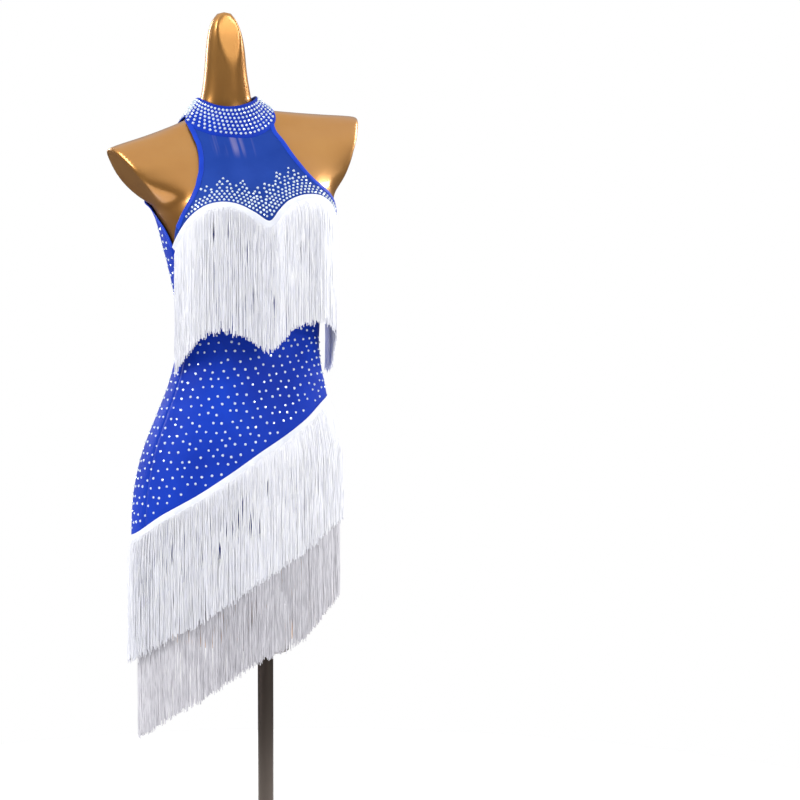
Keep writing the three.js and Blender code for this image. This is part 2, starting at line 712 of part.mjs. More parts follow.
// Tapes and bindings lie on the cloth, along its edges.
const turned360 = (points) => points.map(([degrees, height]) => [360 - degrees, height]);
const toCollar = (points) => {
  const [degrees] = points[points.length - 1];
  return [...points.slice(0, -1), [degrees, collarBottomHeight(degrees) - COLLAR_CLEAR]];
};
const frontLeft = toCollar(ARMHOLE_FRONT_LEFT).slice(1);
const frontRight = toCollar(ARMHOLE_FRONT_RIGHT).slice(2);
const backLeft = toCollar(ARMHOLE_BACK_LEFT).slice(1);
const backRight = toCollar(ARMHOLE_BACK_RIGHT).slice(1);
const openingHalf = [...toCollar(OPENING_SIDE).reverse(), ...OPENING_BOTTOM.slice(1)];
const openingLine = [...openingHalf, ...turned360(openingHalf).reverse().slice(1)];

const trims = [
  ['binding_front_left', [...frontLeft].reverse(), 18],
  ['binding_front_right', [[-68, 1182], ...frontRight], 20],
  ['binding_back_left', backLeft, 18],
  ['binding_back_right', [...backRight].reverse(), 20],
  ['binding_opening', openingLine, 36],
];
for (const [name, points, steps] of trims) {
  dress.add(strip(name, line(points), steps, 0, BINDING_WIDTH, false, blueStretch()));
}
dress.add(strip('tape_bust', sweetheart, 34, 0.5, TAPE_WIDTH - 0.5, false, whiteTape()));
dress.add(strip('tape_hip_upper', upperTape, 48, 0, TAPE_WIDTH, true, whiteTape()));
dress.add(strip('tape_hip_lower', lowerTape, 48, 0, TAPE_WIDTH, true, whiteTape()));

const nearBody = clothOuter + FRINGE_GAP;
const overLowerTier = (drop) => nearBody + UPPER_TIER_OUT * Math.min(drop / UPPER_TIER_RAMP, 1);
dress.add(fringe('fringe_bust', sweetheart, 34, false, () => clothOuter + BUST_FRINGE_GAP));
dress.add(fringe('fringe_hip_upper', upperTape, 48, true, overLowerTier));
dress.add(fringe('fringe_hip_lower', lowerTape, 48, true, () => nearBody));

// The plain strip that closes the collar at the back, with a pointed end below it.
function collarTab() {
  const shares = [[0, -0.22, 0], [0.3, 0.3, 0.3], [0.65, 0.65, 0.65], [0.98, 0.98, 0.98]];
  const layer = (out) => shares.map((row) => row.map((share, i) => {
    const degrees = TAB_MIDDLE + (i - 1) * TAB_HALF_ANGLE;
    const foot = collarFoot(degrees, clothInner + out);
    return foot.lerp(collarRim(degrees, clothInner + COLLAR_STAND_OFF + out), share);
  }));
  const lift = CLOTH + TRIM_GAP;
  return wall('collar_tab', layer(lift + TRIM), layer(lift), false, blueStretch());
}
dress.add(collarTab());

// A flat strap along its middle line, its width across the back.
function strap(name, points) {
  const way = new THREE.CatmullRomCurve3(points.map((point) => new THREE.Vector3(...point)));
  const steps = points.length - 1;
  const half = STRAP_WIDTH / 2;
  const rows = (side) => Array.from({ length: steps + 1 }, (unused, j) => {
    const middle = way.getPoint(1 - j / steps);
    const down = way.getTangent(1 - j / steps);
    const across = new THREE.Vector3(1, 0, 0);
    across.addScaledVector(down, -across.dot(down)).normalize();
    const out = down.clone().cross(across).normalize();
    return [1, -1].map((end) => middle.clone()
      .addScaledVector(across, end * half)
      .addScaledVector(out, (-side * STRAP_THICKNESS) / 2));
  });
  return wall(name, rows(1), rows(-1), false, whiteTape());
}
for (const [name, points] of Object.entries(STRAPS)) dress.add(strap(name, points));

export default dress;
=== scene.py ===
"""A latin dance dress on a limbless dress form: its fine meshes, threads, stones and finishes.

Sizes of the body and the pattern are in millimetres, as a dressmaker writes them, and turn into
metres where a mesh is made. A place on the body is an angle, from the front (0) to the form's
left (90) and the back (180), and the height of its section before the section's tilt.
"""
import math

import bpy
import numpy as np
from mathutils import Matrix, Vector


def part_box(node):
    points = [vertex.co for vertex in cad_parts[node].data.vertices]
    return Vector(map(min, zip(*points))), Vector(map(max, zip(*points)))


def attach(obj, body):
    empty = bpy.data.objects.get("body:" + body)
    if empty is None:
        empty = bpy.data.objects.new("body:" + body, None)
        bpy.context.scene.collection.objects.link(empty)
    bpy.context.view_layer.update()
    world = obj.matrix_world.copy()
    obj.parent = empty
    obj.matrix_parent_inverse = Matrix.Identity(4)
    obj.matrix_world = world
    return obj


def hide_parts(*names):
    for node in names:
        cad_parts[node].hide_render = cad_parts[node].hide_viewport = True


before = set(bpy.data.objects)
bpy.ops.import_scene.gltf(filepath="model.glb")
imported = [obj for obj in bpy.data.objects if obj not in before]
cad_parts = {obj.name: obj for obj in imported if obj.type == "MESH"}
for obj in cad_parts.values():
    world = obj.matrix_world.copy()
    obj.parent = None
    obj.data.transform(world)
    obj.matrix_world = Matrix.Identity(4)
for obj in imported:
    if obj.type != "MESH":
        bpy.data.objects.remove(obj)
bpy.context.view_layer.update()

MM = 0.001
rng = np.random.default_rng(7)

# ------------------------------------------------------------------------------ camera
CAMERA_DISTANCE = 3.0
CAMERA_HEIGHT = 1.032
CAMERA_AZIMUTH = math.radians(-20)
CAMERA_YAW = math.radians(4.13)
CAMERA_PITCH = math.radians(2.44)
CAMERA_LENS = 84.4


def make_camera():
    data = bpy.data.cameras.new("camera")
    data.lens = CAMERA_LENS
    camera = bpy.data.objects.new("camera", data)
    bpy.context.scene.collection.objects.link(camera)
    back = Vector((math.sin(CAMERA_AZIMUTH), -math.cos(CAMERA_AZIMUTH), 0))
    camera.location = back * CAMERA_DISTANCE + Vector((0, 0, CAMERA_HEIGHT))
    camera.rotation_euler = (
        math.pi / 2 - CAMERA_PITCH,
        0,
        CAMERA_AZIMUTH - CAMERA_YAW,
    )
    bpy.context.scene.camera = camera


make_camera()

# ------------------------------------------------------------------------------ straps' routes
# The middle line of each strap in metres, from under the collar down to its free end.
STRAP_WIDTH = 0.0085
STRAP_THICKNESS = 0.0012
STRAP_ROUTES = {
    "strap_left": [
        (-0.0115, 0.0945, 1.321), (-0.0125, 0.103, 1.302), (-0.014, 0.110, 1.278),
        (-0.014, 0.1135, 1.255), (-0.015, 0.1155, 1.230), (-0.016, 0.1165, 1.200),
        (-0.016, 0.117, 1.165), (-0.016, 0.117, 1.130), (-0.016, 0.117, 1.095),
        (-0.016, 0.117, 1.060), (-0.016, 0.117, 1.025), (-0.015, 0.117, 0.990),
        (-0.014, 0.117, 0.955), (-0.014, 0.117, 0.920), (-0.014, 0.117, 0.887),
    ],
    "strap_middle": [
        (-0.054, 0.0948, 1.3145), (-0.053, 0.1035, 1.295), (-0.050, 0.111, 1.272),
        (-0.048, 0.115, 1.248), (-0.045, 0.1175, 1.220), (-0.042, 0.119, 1.185),
        (-0.038, 0.1195, 1.145), (-0.033, 0.1195, 1.098), (-0.029, 0.1195, 1.060),
        (-0.026, 0.1195, 1.028), (-0.023, 0.1195, 1.000), (-0.023, 0.1195, 0.968),
        (-0.027, 0.1195, 0.935), (-0.034, 0.1195, 0.900), (-0.042, 0.1195, 0.866),
        (-0.048, 0.1195, 0.836),
    ],
    "strap_right": [
        (-0.081, 0.093, 1.314), (-0.080, 0.103, 1.298), (-0.076, 0.110, 1.276),
        (-0.071, 0.115, 1.250), (-0.065, 0.1185, 1.222), (-0.058, 0.121, 1.190),
        (-0.052, 0.122, 1.150), (-0.046, 0.122, 1.108), (-0.038, 0.122, 1.065),
        (-0.032, 0.122, 1.035), (-0.031, 0.122, 1.015), (-0.035, 0.122, 0.995),
        (-0.043, 0.122, 0.968), (-0.049, 0.122, 0.938), (-0.050, 0.122, 0.904),
        (-0.050, 0.122, 0.872),
    ],
}

# ------------------------------------------------------------------------------ body and pattern
# height, centre x and y, half width, depth to the front and the back, squareness, tilt
SECTIONS = np.array([
    (516, -40, 8, 70, 50, 55, 2.2, 0),
    (530, -44, 8, 112, 73, 82, 2.2, 1),
    (560, -48, 8, 140, 84, 96, 2.2, 4),
    (600, -49, 8, 154, 91, 104, 2.2, 6.5),
    (660, -48, 8, 161, 96, 111, 2.2, 7),
    (720, -46, 8, 163, 99, 113, 2.2, 7),
    (780, -45, 6, 161, 100, 107, 2.2, 7),
    (840, -43, 3, 151, 97, 93, 2.2, 7),
    (900, -38, 0, 133, 88, 77, 2.2, 7),
    (950, -33, -3, 118, 79, 67, 2.2, 6),
    (1000, -29, -4, 111, 74, 64, 2.2, 4),
    (1050, -27, -1, 112, 76, 71, 2.2, 1),
    (1100, -27, 3, 119, 81, 82, 2.2, 0),
    (1150, -28, 6, 129, 89, 90, 2.2, 1),
    (1195, -29, 8, 138, 96, 94, 2.2, 3),
    (1225, -30, 13, 149, 93, 91, 2.2, 5),
    (1250, -31, 18, 185, 88, 88, 2.2, 7),
    (1275, -32, 23, 225, 78, 81, 2.2, 8.5),
    (1300, -33, 27, 250, 67, 72, 2.1, 9),
    (1320, -34, 30, 240, 54, 60, 2.0, 9),
    (1333, -36, 31, 200, 46, 51, 2.0, 9),
    (1342, -40, 31, 148, 43, 46, 2.0, 9),
    (1350, -47, 30, 103, 42, 44, 2.0, 9),
    (1358, -53, 28, 66, 41, 43, 2.0, 8.5),
    (1366, -55, 26, 50, 40, 42, 2.0, 8),
    (1376, -57, 23, 43, 39, 41, 2.0, 7),
    (1390, -58, 17, 38.5, 37, 39, 2.0, 6),
    (1420, -62, 5, 33.5, 33, 36, 2.0, 5),
    (1455, -67, -9, 30, 30, 33, 2.0, 4),
    (1478, -71, -18, 26, 27, 28, 2.0, 2),
    (1496, -74, -24, 19.5, 20, 21, 2.0, 2),
    (1507, -75, -27, 11, 11, 11, 2.0, 2),
])
FORM_BOTTOM = 516

# angle, height, spread of the angle, reach above and below, how far out
SWELLINGS = [
    (33, 1190, 28, 62, 52, 37),
    (150, 780, 24, 70, 80, 9),
    (142, 1225, 20, 45, 70, 5),
    (180, 1100, 9, 120, 110, -3),
]
BRIDGE = (0, 1188, 20, 60, 60, 9)

ARM_CUT_HEIGHT = 1318
ARM_CUT_REACHES = (203, 196)
ARM_CUT_SLOPES = (0.6, 0.51)
ARM_CUT_LEAST = 146
ARM_CUT_FROM = 1185
ARM_CUT_ROUNDING = 8
NECK_CUT_LOW = 1428
NECK_CUT_DEPTH = 32
NECK_CUT_LEAN = 0.26
NECK_CUT_ROUNDING = 2

# Lines of the pattern, as angle and height.
SWEETHEART = [
    (-78, 1148), (-70, 1165), (-58, 1187), (-50, 1200), (-42, 1210), (-34, 1213), (-25, 1209),
    (-14, 1196), (-3, 1184), (5, 1198), (14, 1211), (28, 1218), (38, 1215), (48, 1201), (60, 1181),
    (75, 1157), (90, 1146),
]
ARMHOLE_FRONT_LEFT = [
    (74, 1158), (66, 1186), (58, 1208), (50, 1222), (43, 1232), (39, 1243), (37.5, 1258),
    (37.5, 1280), (38, 1300), (40, 1320), (46, 1340),
]
ARMHOLE_FRONT_RIGHT = [
    (-76, 1152), (-70, 1177), (-64, 1191), (-59, 1206), (-55, 1221), (-52, 1236), (-50.5, 1250),
    (-50.5, 1266), (-51.5, 1282), (-53.5, 1298), (-57, 1312), (-62, 1326), (-70, 1346),
]
ARMHOLE_BACK_LEFT = [
    (90, 1147), (92, 1160), (99, 1178), (108, 1206), (115, 1234), (120.5, 1260), (122.5, 1286),
    (121, 1314), (118, 1340),
]
ARMHOLE_BACK_RIGHT = [
    (282, 1149), (280, 1166), (276, 1182), (270, 1198), (262, 1214), (255, 1232), (245, 1248),
    (240, 1264), (238, 1282), (239, 1302), (240, 1318), (238, 1338),
]
OPENING_SIDE = [
    (128, 1094), (127, 1127), (129, 1166), (131, 1202), (134, 1242), (137, 1280), (139, 1320),
]
OPENING_BOTTOM = [(128, 1094), (134, 1064), (146, 1037), (161, 1019), (180, 1012)]
HIP_LINE = [
    (-104, 712), (-84, 724), (-66, 752), (-48, 775), (-30, 797), (-4, 824), (24, 848), (42, 866),
    (62, 889), (80, 896), (98, 883), (116, 869), (146, 851), (180, 833), (214, 811), (229, 784),
    (243, 742), (256, 712),
]
COLLAR_BOTTOM = [
    (-180, 1318), (-140, 1324), (-110, 1352), (-90, 1360), (-74, 1352), (-61, 1337), (-50, 1327),
    (-28, 1319), (0, 1315), (25, 1320), (45, 1332), (62, 1351), (90, 1365), (110, 1352),
    (140, 1324), (180, 1318),
]
COLLAR_TOP = [
    (-180, 1366), (-120, 1374), (-80, 1384), (-56, 1378), (-28, 1370), (0, 1368), (28, 1370),
    (50, 1374), (80, 1380), (120, 1374), (180, 1366),
]

# middle angle, height, slope in mm a degree, length in degrees, half width and rise in mm
CREASES = [
    (-52, 1012, 0.35, 22, 4.5, 0.55), (-40, 996, 0.22, 17, 4.0, -0.35), (-60, 978, 0.50, 18, 5.0, 0.5),
    (46, 1004, -0.30, 20, 4.0, 0.6), (58, 984, -0.42, 24, 5.0, -0.35), (34, 966, -0.20, 15, 4.5, 0.45),
    (8, 942, 0.10, 19, 5.5, 0.35), (-22, 930, 0.28, 14, 4.0, 0.4), (70, 925, -0.55, 18, 5.5, 0.5),
    (126, 1000, 0.34, 24, 5.0, 0.6), (150, 978, 0.20, 17, 4.0, -0.35), (112, 958, 0.48, 19, 4.5, 0.5),
    (222, 1010, -0.36, 22, 4.5, 0.55), (205, 985, -0.18, 18, 4.0, -0.35), (244, 968, -0.50, 21, 5.0, 0.6),
    (180, 944, 0.05, 26, 5.5, 0.4), (164, 905, 0.22, 14, 4.5, 0.45), (198, 898, -0.30, 16, 5.0, 0.4),
    (101, 1120, -0.60, 13, 5.0, 0.5), (262, 1116, 0.62, 12, 4.5, 0.5), (-66, 1096, 0.5, 12, 4.5, 0.4),
]

CLOTH_INNER = 3.0
CLOTH_OUTER = 4.5
TAPE_WIDTH = 10
BINDING_WIDTH = 8
FRINGE_LENGTH = 188
TIER_STEP = 122
LOWER_DIP = 19
HEM_BELOW_TAPE = 30
COLLAR_STAND_OFF = 4
COLLAR_THICKNESS = 1.8
TAB_MIDDLE = 183
TAB_HALF_ANGLE = 6
SIDE_LEFT = 90
SIDE_RIGHT = -78
MM_PER_DEGREE = 2.2


def curve(xs, ys):
    """A curve through the points that never overshoots them."""
    xs, ys = np.asarray(xs, float), np.asarray(ys, float)
    steps = np.diff(ys) / np.diff(xs)
    slopes = np.empty(len(xs))
    slopes[0], slopes[-1] = steps[0], steps[-1]
    mean = (ys[2:] - ys[:-2]) / (xs[2:] - xs[:-2])
    most = 3 * np.minimum(np.abs(steps[:-1]), np.abs(steps[1:]))
    slopes[1:-1] = np.sign(mean) * np.minimum(np.abs(mean), most)
    slopes[1:-1][steps[:-1] * steps[1:] <= 0] = 0

    def value(x):
        x = np.asarray(x, float)
        i = np.clip(np.searchsorted(xs, x) - 1, 0, len(xs) - 2)
        width = xs[i + 1] - xs[i]
        t = np.clip((x - xs[i]) / width, 0, 1)
        rise = t * t * (3 - 2 * t)
        start = slopes[i] * t * (1 - t) ** 2 * width
        end = slopes[i + 1] * t * t * (t - 1) * width
        return ys[i] * (1 - rise) + ys[i + 1] * rise + start + end

    return value


centre_x, centre_y, half_width, front_depth, back_depth, squareness, tilt = [
    curve(SECTIONS[:, 0], SECTIONS[:, k]) for k in range(1, 8)
]


def over(points):
    """A line's height as a function of its angle."""
    return curve([p[0] for p in points], [p[1] for p in points])


def line(points):
    """A line of (angle, height) points as a function of the share of the way along it."""
    points = np.asarray(points, float)
    lengths = np.hypot(np.diff(points[:, 0]) * MM_PER_DEGREE, np.diff(points[:, 1]))
    shares = np.concatenate([[0], np.cumsum(lengths)]) / lengths.sum()
    angle, height = curve(shares, points[:, 0]), curve(shares, points[:, 1])
    return lambda share: (angle(share), height(share))


def soft_min(a, b, rounding):
    share = np.clip(0.5 + 0.5 * (b - a) / rounding, 0, 1)
    return b * (1 - share) + a * share - rounding * share * (1 - share)


def swelling(row, angle, here):
    at, height, spread, above, below, out = row
    reach = np.where(here > height, above, below)
    rise = out * np.exp(-(((here - height) / reach) ** 2))
    total = 0
    for side in (1,) if at in (0, 180) else (1, -1):
        turn = (np.degrees(angle) - side * at + 180) % 360 - 180
        total = total + rise * np.exp(-((turn / spread) ** 2))
    return total


def body_radius(angle, height):
    """The form's radius: its sections, cut at the arms and the neck, with its swellings."""
    sine, cosine = np.sin(angle), np.cos(angle)
    depth = np.where(cosine > 0, front_depth(height), back_depth(height))
    power = squareness(height)
    total = np.abs(sine / half_width(height)) ** power + np.abs(cosine / depth) ** power
    radius = total ** (-1 / power)
    slope = np.where(sine < 0, *ARM_CUT_SLOPES)
    reach = np.where(sine < 0, *ARM_CUT_REACHES) + slope * (height - ARM_CUT_HEIGHT)
    reach = np.maximum(reach, ARM_CUT_LEAST)
    cut = soft_min(radius, reach / np.maximum(np.abs(sine), 0.001), ARM_CUT_ROUNDING)
    radius = np.where(height > ARM_CUT_FROM, cut, radius)
    depth_left = np.maximum(NECK_CUT_DEPTH - NECK_CUT_LEAN * (height - NECK_CUT_LOW), 2)
    neck = soft_min(radius, depth_left / np.maximum(cosine, 0.05), NECK_CUT_ROUNDING)
    radius = np.where((height > NECK_CUT_LOW - 60) & (cosine > 0.05), neck, radius)
    for row in SWELLINGS:
        radius = radius + swelling(row, angle, height)
    return radius


def cloth_radius(angle, height):
    return body_radius(angle, height) + swelling(BRIDGE, angle, height)


def place(radius, angle, height):
    """A point at a radius from the body's tilted middle line, in millimetres."""
    across = radius * np.sin(angle)
    return np.stack([
        centre_x(height) + across,
        centre_y(height) - radius * np.cos(angle),
        height + across * np.tan(np.radians(tilt(height))),
    ], -1)


def unit(vectors):
    return vectors / np.maximum(np.linalg.norm(vectors, axis=-1, keepdims=True), 1e-9)


def facing(angle, height):
    """The outward direction of the cloth's surface."""
    turn, rise = math.radians(1.2), 2.0

    def at(a, h):
        return place(cloth_radius(a, h), a, h)

    along = at(angle + turn, height) - at(angle - turn, height)
    up = at(angle, height + rise) - at(angle, height - rise)
    return unit(np.cross(along, up))


def on_cloth(degrees, height, out):
    angle, height = np.broadcast_arrays(np.radians(degrees), np.asarray(height, float))
    out = np.asarray(out, float)[..., None]
    return place(cloth_radius(angle, height), angle, height) + facing(angle, height) * out


def beside(along, share, distance, loops=False):
    """The places at a distance from a line, to the right of the way along it."""
    bounded = (lambda v: v) if loops else (lambda v: np.clip(v, 0, 1))
    degrees, height = along(share)
    middle = on_cloth(degrees, height, 0)
    forward = on_cloth(*along(bounded(share + 0.01)), 0) - on_cloth(*along(bounded(share - 0.01)), 0)
    across = unit(np.cross(forward, facing(np.radians(degrees), height)))
    per_degree = on_cloth(degrees + 1, height, 0) - middle
    per_height = on_cloth(degrees, height + 1, 0) - middle
    skew = (per_degree * per_height).sum(-1)
    degree_square = (per_degree ** 2).sum(-1)
    height_square = (per_height ** 2).sum(-1)
    a, h = (per_degree * across).sum(-1), (per_height * across).sum(-1)
    scale = distance / (degree_square * height_square - skew * skew)
    return (
        degrees + scale * (a * height_square - h * skew),
        height + scale * (h * degree_square - a * skew),
    )


def fill(bottom, top, left, right, columns, rows):
    """Grids of angles and heights inside four lines that meet at their corners."""
    t, s = np.meshgrid(np.linspace(0, 1, columns + 1), np.linspace(0, 1, rows + 1))
    parts = []
    for k in (0, 1):
        b, u, l, r = bottom(t)[k], top(t)[k], left(s)[k], right(s)[k]
        corners = [float(np.asarray(f(np.array(e))[k])) for f, e in
                   ((bottom, 0), (bottom, 1), (top, 0), (top, 1))]
        parts.append(
            (1 - s) * b + s * u + (1 - t) * l + t * r
            - (1 - s) * (1 - t) * corners[0] - (1 - s) * t * corners[1]
            - s * (1 - t) * corners[2] - s * t * corners[3]
        )
    return parts


def straight(start, end):
    return lambda t: tuple(start[k] + (end[k] - start[k]) * t for k in (0, 1))


# ------------------------------------------------------------------------------ mesh helpers
def new_object(name, vertices, faces, material, slot):
    """A smooth mesh object at the origin, from vertices in metres, with its slot's name kept on it."""
    mesh = bpy.data.meshes.new(name)
    mesh.from_pydata(np.asarray(vertices, float).tolist(), [], faces)
    mesh.materials.append(material)
    mesh.polygons.foreach_set("use_smooth", [True] * len(mesh.polygons))
    mesh.update()
    piece = bpy.data.objects.new(name, mesh)
    bpy.context.scene.collection.objects.link(piece)
    piece["slot_name"] = slot
    return piece


def grid_faces(rows, columns, loops=False, start=0):
    cells = columns if loops else columns - 1
    j, i = np.meshgrid(np.arange(rows - 1), np.arange(cells), indexing="ij")
    nxt = (i + 1) % columns
    quads = np.stack([j * columns + i, j * columns + nxt, (j + 1) * columns + nxt,
                      (j + 1) * columns + i], -1)
    return (quads.reshape(-1, 4) + start).tolist()


def baked(piece):
    """The piece with its modifiers applied, as a plain mesh."""
    graph = bpy.context.evaluated_depsgraph_get()
    mesh = bpy.data.meshes.new_from_object(piece.evaluated_get(graph))
    piece.modifiers.clear()
    old = piece.data
    piece.data = mesh
    mesh.name = piece.name
    bpy.data.meshes.remove(old)
    return piece


def thicken(piece, thickness, rounding=0.0, even=True):
    """Gives a sheet its thickness inwards, in millimetres, and rounds its edges."""
    solid = piece.modifiers.new("wall", "SOLIDIFY")
    solid.thickness = thickness * MM
    solid.offset = -1.0
    solid.use_even_offset = even
    if rounding:
        bevel = piece.modifiers.new("edge", "BEVEL")
        bevel.width = rounding * MM
        bevel.segments = 2
        bevel.limit_method = "ANGLE"
        bevel.angle_limit = math.radians(50)
    return baked(piece)


def creased(degrees, height):
    """How far soft folds lift or sink the stretched cloth, never deeper than its gap allows."""
    total = np.zeros_like(height)
    for middle, level, slope, length, half_width, rise in CREASES:
        turn = (degrees - middle + 180) % 360 - 180
        across = height - level - slope * turn
        total += rise * np.exp(-(turn / length) ** 2 - (across / half_width) ** 2)
    return total


def cloth_panel(name, grids, out, thickness, material, slot, folded=False):
    """A wall of cloth over one or more grids of angles and heights."""
    vertices, faces = [], []
    for degrees, height in grids:
        rows, columns = degrees.shape
        points = on_cloth(degrees, height, out)
        if folded:
            lift = creased(degrees, height)[..., None]
            points = points + lift * facing(np.radians(degrees), height)
        faces += grid_faces(rows, columns, start=len(vertices))
        vertices += (points.reshape(-1, 3) * MM).tolist()
    piece = new_object(name, vertices, faces, material, slot)
    if len(grids) > 1:
        weld = piece.modifiers.new("weld", "WELD")
        weld.merge_threshold = 0.05 * MM
    return thicken(piece, thickness, even=False)


# ------------------------------------------------------------------------------ materials
def set_inputs(node, **values):
    for name, value in values.items():
        node.inputs[name.replace("_", " ")].default_value = value


def unevenness_group():
    """A slow change between two colours, and a fine grain for bump."""
    tree = bpy.data.node_groups.new("cloth unevenness", "ShaderNodeTree")
    for name, kind in (("Low Colour", "NodeSocketColor"), ("High Colour", "NodeSocketColor"),
                       ("Patch Scale", "NodeSocketFloat"), ("Grain Scale", "NodeSocketFloat"),
                       ("Stretch", "NodeSocketVector")):
        tree.interface.new_socket(name, in_out="INPUT", socket_type=kind)
    tree.interface.new_socket("Colour", in_out="OUTPUT", socket_type="NodeSocketColor")
    tree.interface.new_socket("Grain", in_out="OUTPUT", socket_type="NodeSocketFloat")
    nodes, links = tree.nodes, tree.links
    inward, outward = nodes.new("NodeGroupInput"), nodes.new("NodeGroupOutput")
    where = nodes.new("ShaderNodeTexCoord")
    stretch = nodes.new("ShaderNodeVectorMath")
    stretch.operation = "MULTIPLY"
    links.new(where.outputs["Object"], stretch.inputs[0])
    links.new(inward.outputs["Stretch"], stretch.inputs[1])
    patch, grain = nodes.new("ShaderNodeTexNoise"), nodes.new("ShaderNodeTexNoise")
    patch.inputs["Detail"].default_value = 4
    grain.inputs["Detail"].default_value = 2
    for node, name in ((patch, "Patch Scale"), (grain, "Grain Scale")):
        links.new(stretch.outputs[0], node.inputs["Vector"])
        links.new(inward.outputs[name], node.inputs["Scale"])
    spread = nodes.new("ShaderNodeMapRange")
    set_inputs(spread, From_Min=0.35, From_Max=0.65)
    links.new(patch.outputs["Fac"], spread.inputs["Value"])
    mix = nodes.new("ShaderNodeMix")
    mix.data_type = "RGBA"
    links.new(spread.outputs["Result"], mix.inputs["Factor"])
    links.new(inward.outputs["Low Colour"], mix.inputs["A"])
    links.new(inward.outputs["High Colour"], mix.inputs["B"])
    links.new(mix.outputs["Result"], outward.inputs["Colour"])
    links.new(grain.outputs["Fac"], outward.inputs["Grain"])
    return tree


UNEVENNESS = unevenness_group()


def finish_material(name, low, high, patch, grain, stretch, bump, **constants):
    """A Principled finish whose colour wanders between low and high, with a fine bump."""
    material = bpy.data.materials.new(name)
    material.use_nodes = True
    nodes, links = material.node_tree.nodes, material.node_tree.links
    shader = nodes["Principled BSDF"]
    set_inputs(shader, **constants)
    group = nodes.new("ShaderNodeGroup")
    group.node_tree = UNEVENNESS
    set_inputs(group, Low_Colour=(*low, 1), High_Colour=(*high, 1), Patch_Scale=patch,
               Grain_Scale=grain, Stretch=stretch)
    relief = nodes.new("ShaderNodeBump")
    set_inputs(relief, Strength=bump, Distance=0.0004)
    links.new(group.outputs["Colour"], shader.inputs["Base Color"])
    links.new(group.outputs["Grain"], relief.inputs["Height"])
    links.new(relief.outputs["Normal"], shader.inputs["Normal"])
    return material


blue_knit = finish_material(
    "blue stretch knit", (0.0015, 0.026, 0.36), (0.004, 0.045, 0.50), 9, 900, (1, 1, 1), 0.35,
    Roughness=0.6, Specular_IOR_Level=0.15, Sheen_Weight=0.02, Sheen_Roughness=0.4,
)
blue_binding = finish_material(
    "blue binding", (0.003, 0.038, 0.46), (0.006, 0.055, 0.56), 30, 1200, (1, 1, 1), 0.3,
    Roughness=0.5, Specular_IOR_Level=0.2, Sheen_Weight=0.02,
)
sheer_mesh = finish_material(
    "sheer blue mesh", (0.006, 0.042, 0.30), (0.012, 0.056, 0.36), 14, 1500, (1, 1, 1), 0.25,
    Roughness=0.65, Specular_IOR_Level=0.15, Sheen_Weight=0.02, Alpha=0.94,
)
fringe_thread = finish_material(
    "white chainette thread", (0.86, 0.87, 0.95), (0.96, 0.965, 1.0), 300, 1400, (1, 1, 0.15), 0.5,
    Roughness=0.6, Specular_IOR_Level=0.3, Sheen_Weight=0.3,
)
# The same white thread, its colour darkened as painted shade: the lower tier gets less light from above.
lower_thread_in_painted_shade = finish_material(
    "white chainette thread of the lower tier in painted shade", (0.58, 0.57, 0.62), (0.74, 0.73, 0.78), 300, 1400,
    (1, 1, 0.15), 0.5, Roughness=0.6, Specular_IOR_Level=0.3, Sheen_Weight=0.2,
)
white_tape = finish_material(
    "white tape", (0.72, 0.74, 0.82), (0.82, 0.84, 0.90), 60, 1600, (1, 1, 0.6), 0.4,
    Roughness=0.55, Specular_IOR_Level=0.35, Sheen_Weight=0.2,
)
bronze_lacquer = finish_material(
    "bronze lacquer", (0.54, 0.245, 0.062), (0.61, 0.30, 0.082), 7, 60, (1, 1, 1), 0.02,
    Metallic=0.78, Roughness=0.33, Coat_Weight=0.5, Coat_Roughness=0.1,
)
dark_steel = finish_material(
    "dark steel", (0.11, 0.09, 0.078), (0.15, 0.125, 0.108), 30, 500, (1, 1, 0.05), 0.08,
    Metallic=0.85, Roughness=0.3,
)
clear_stone = finish_material(
    "clear stone", (0.66, 0.84, 1.0), (0.95, 0.99, 1.0), 700, 900, (1, 1, 1), 0.0,
    Metallic=0.25, Roughness=0.12, Specular_IOR_Level=0.9,
)
smoky_stone = finish_material(
    "smoky stone", (0.10, 0.11, 0.13), (0.45, 0.48, 0.55), 500, 900, (1, 1, 1), 0.0,
    Metallic=0.7, Roughness=0.1,
)


# The colour of a painted highlight: the form's glossy reflection seen through the sheer mesh, painted
# into the mesh's own colour.
PAINTED_HIGHLIGHT_COLOUR = (0.17, 0.17, 0.42)
PAINTED_HIGHLIGHT_EDGE = 0.012
PAINTED_HIGHLIGHT_FADE = 0.02


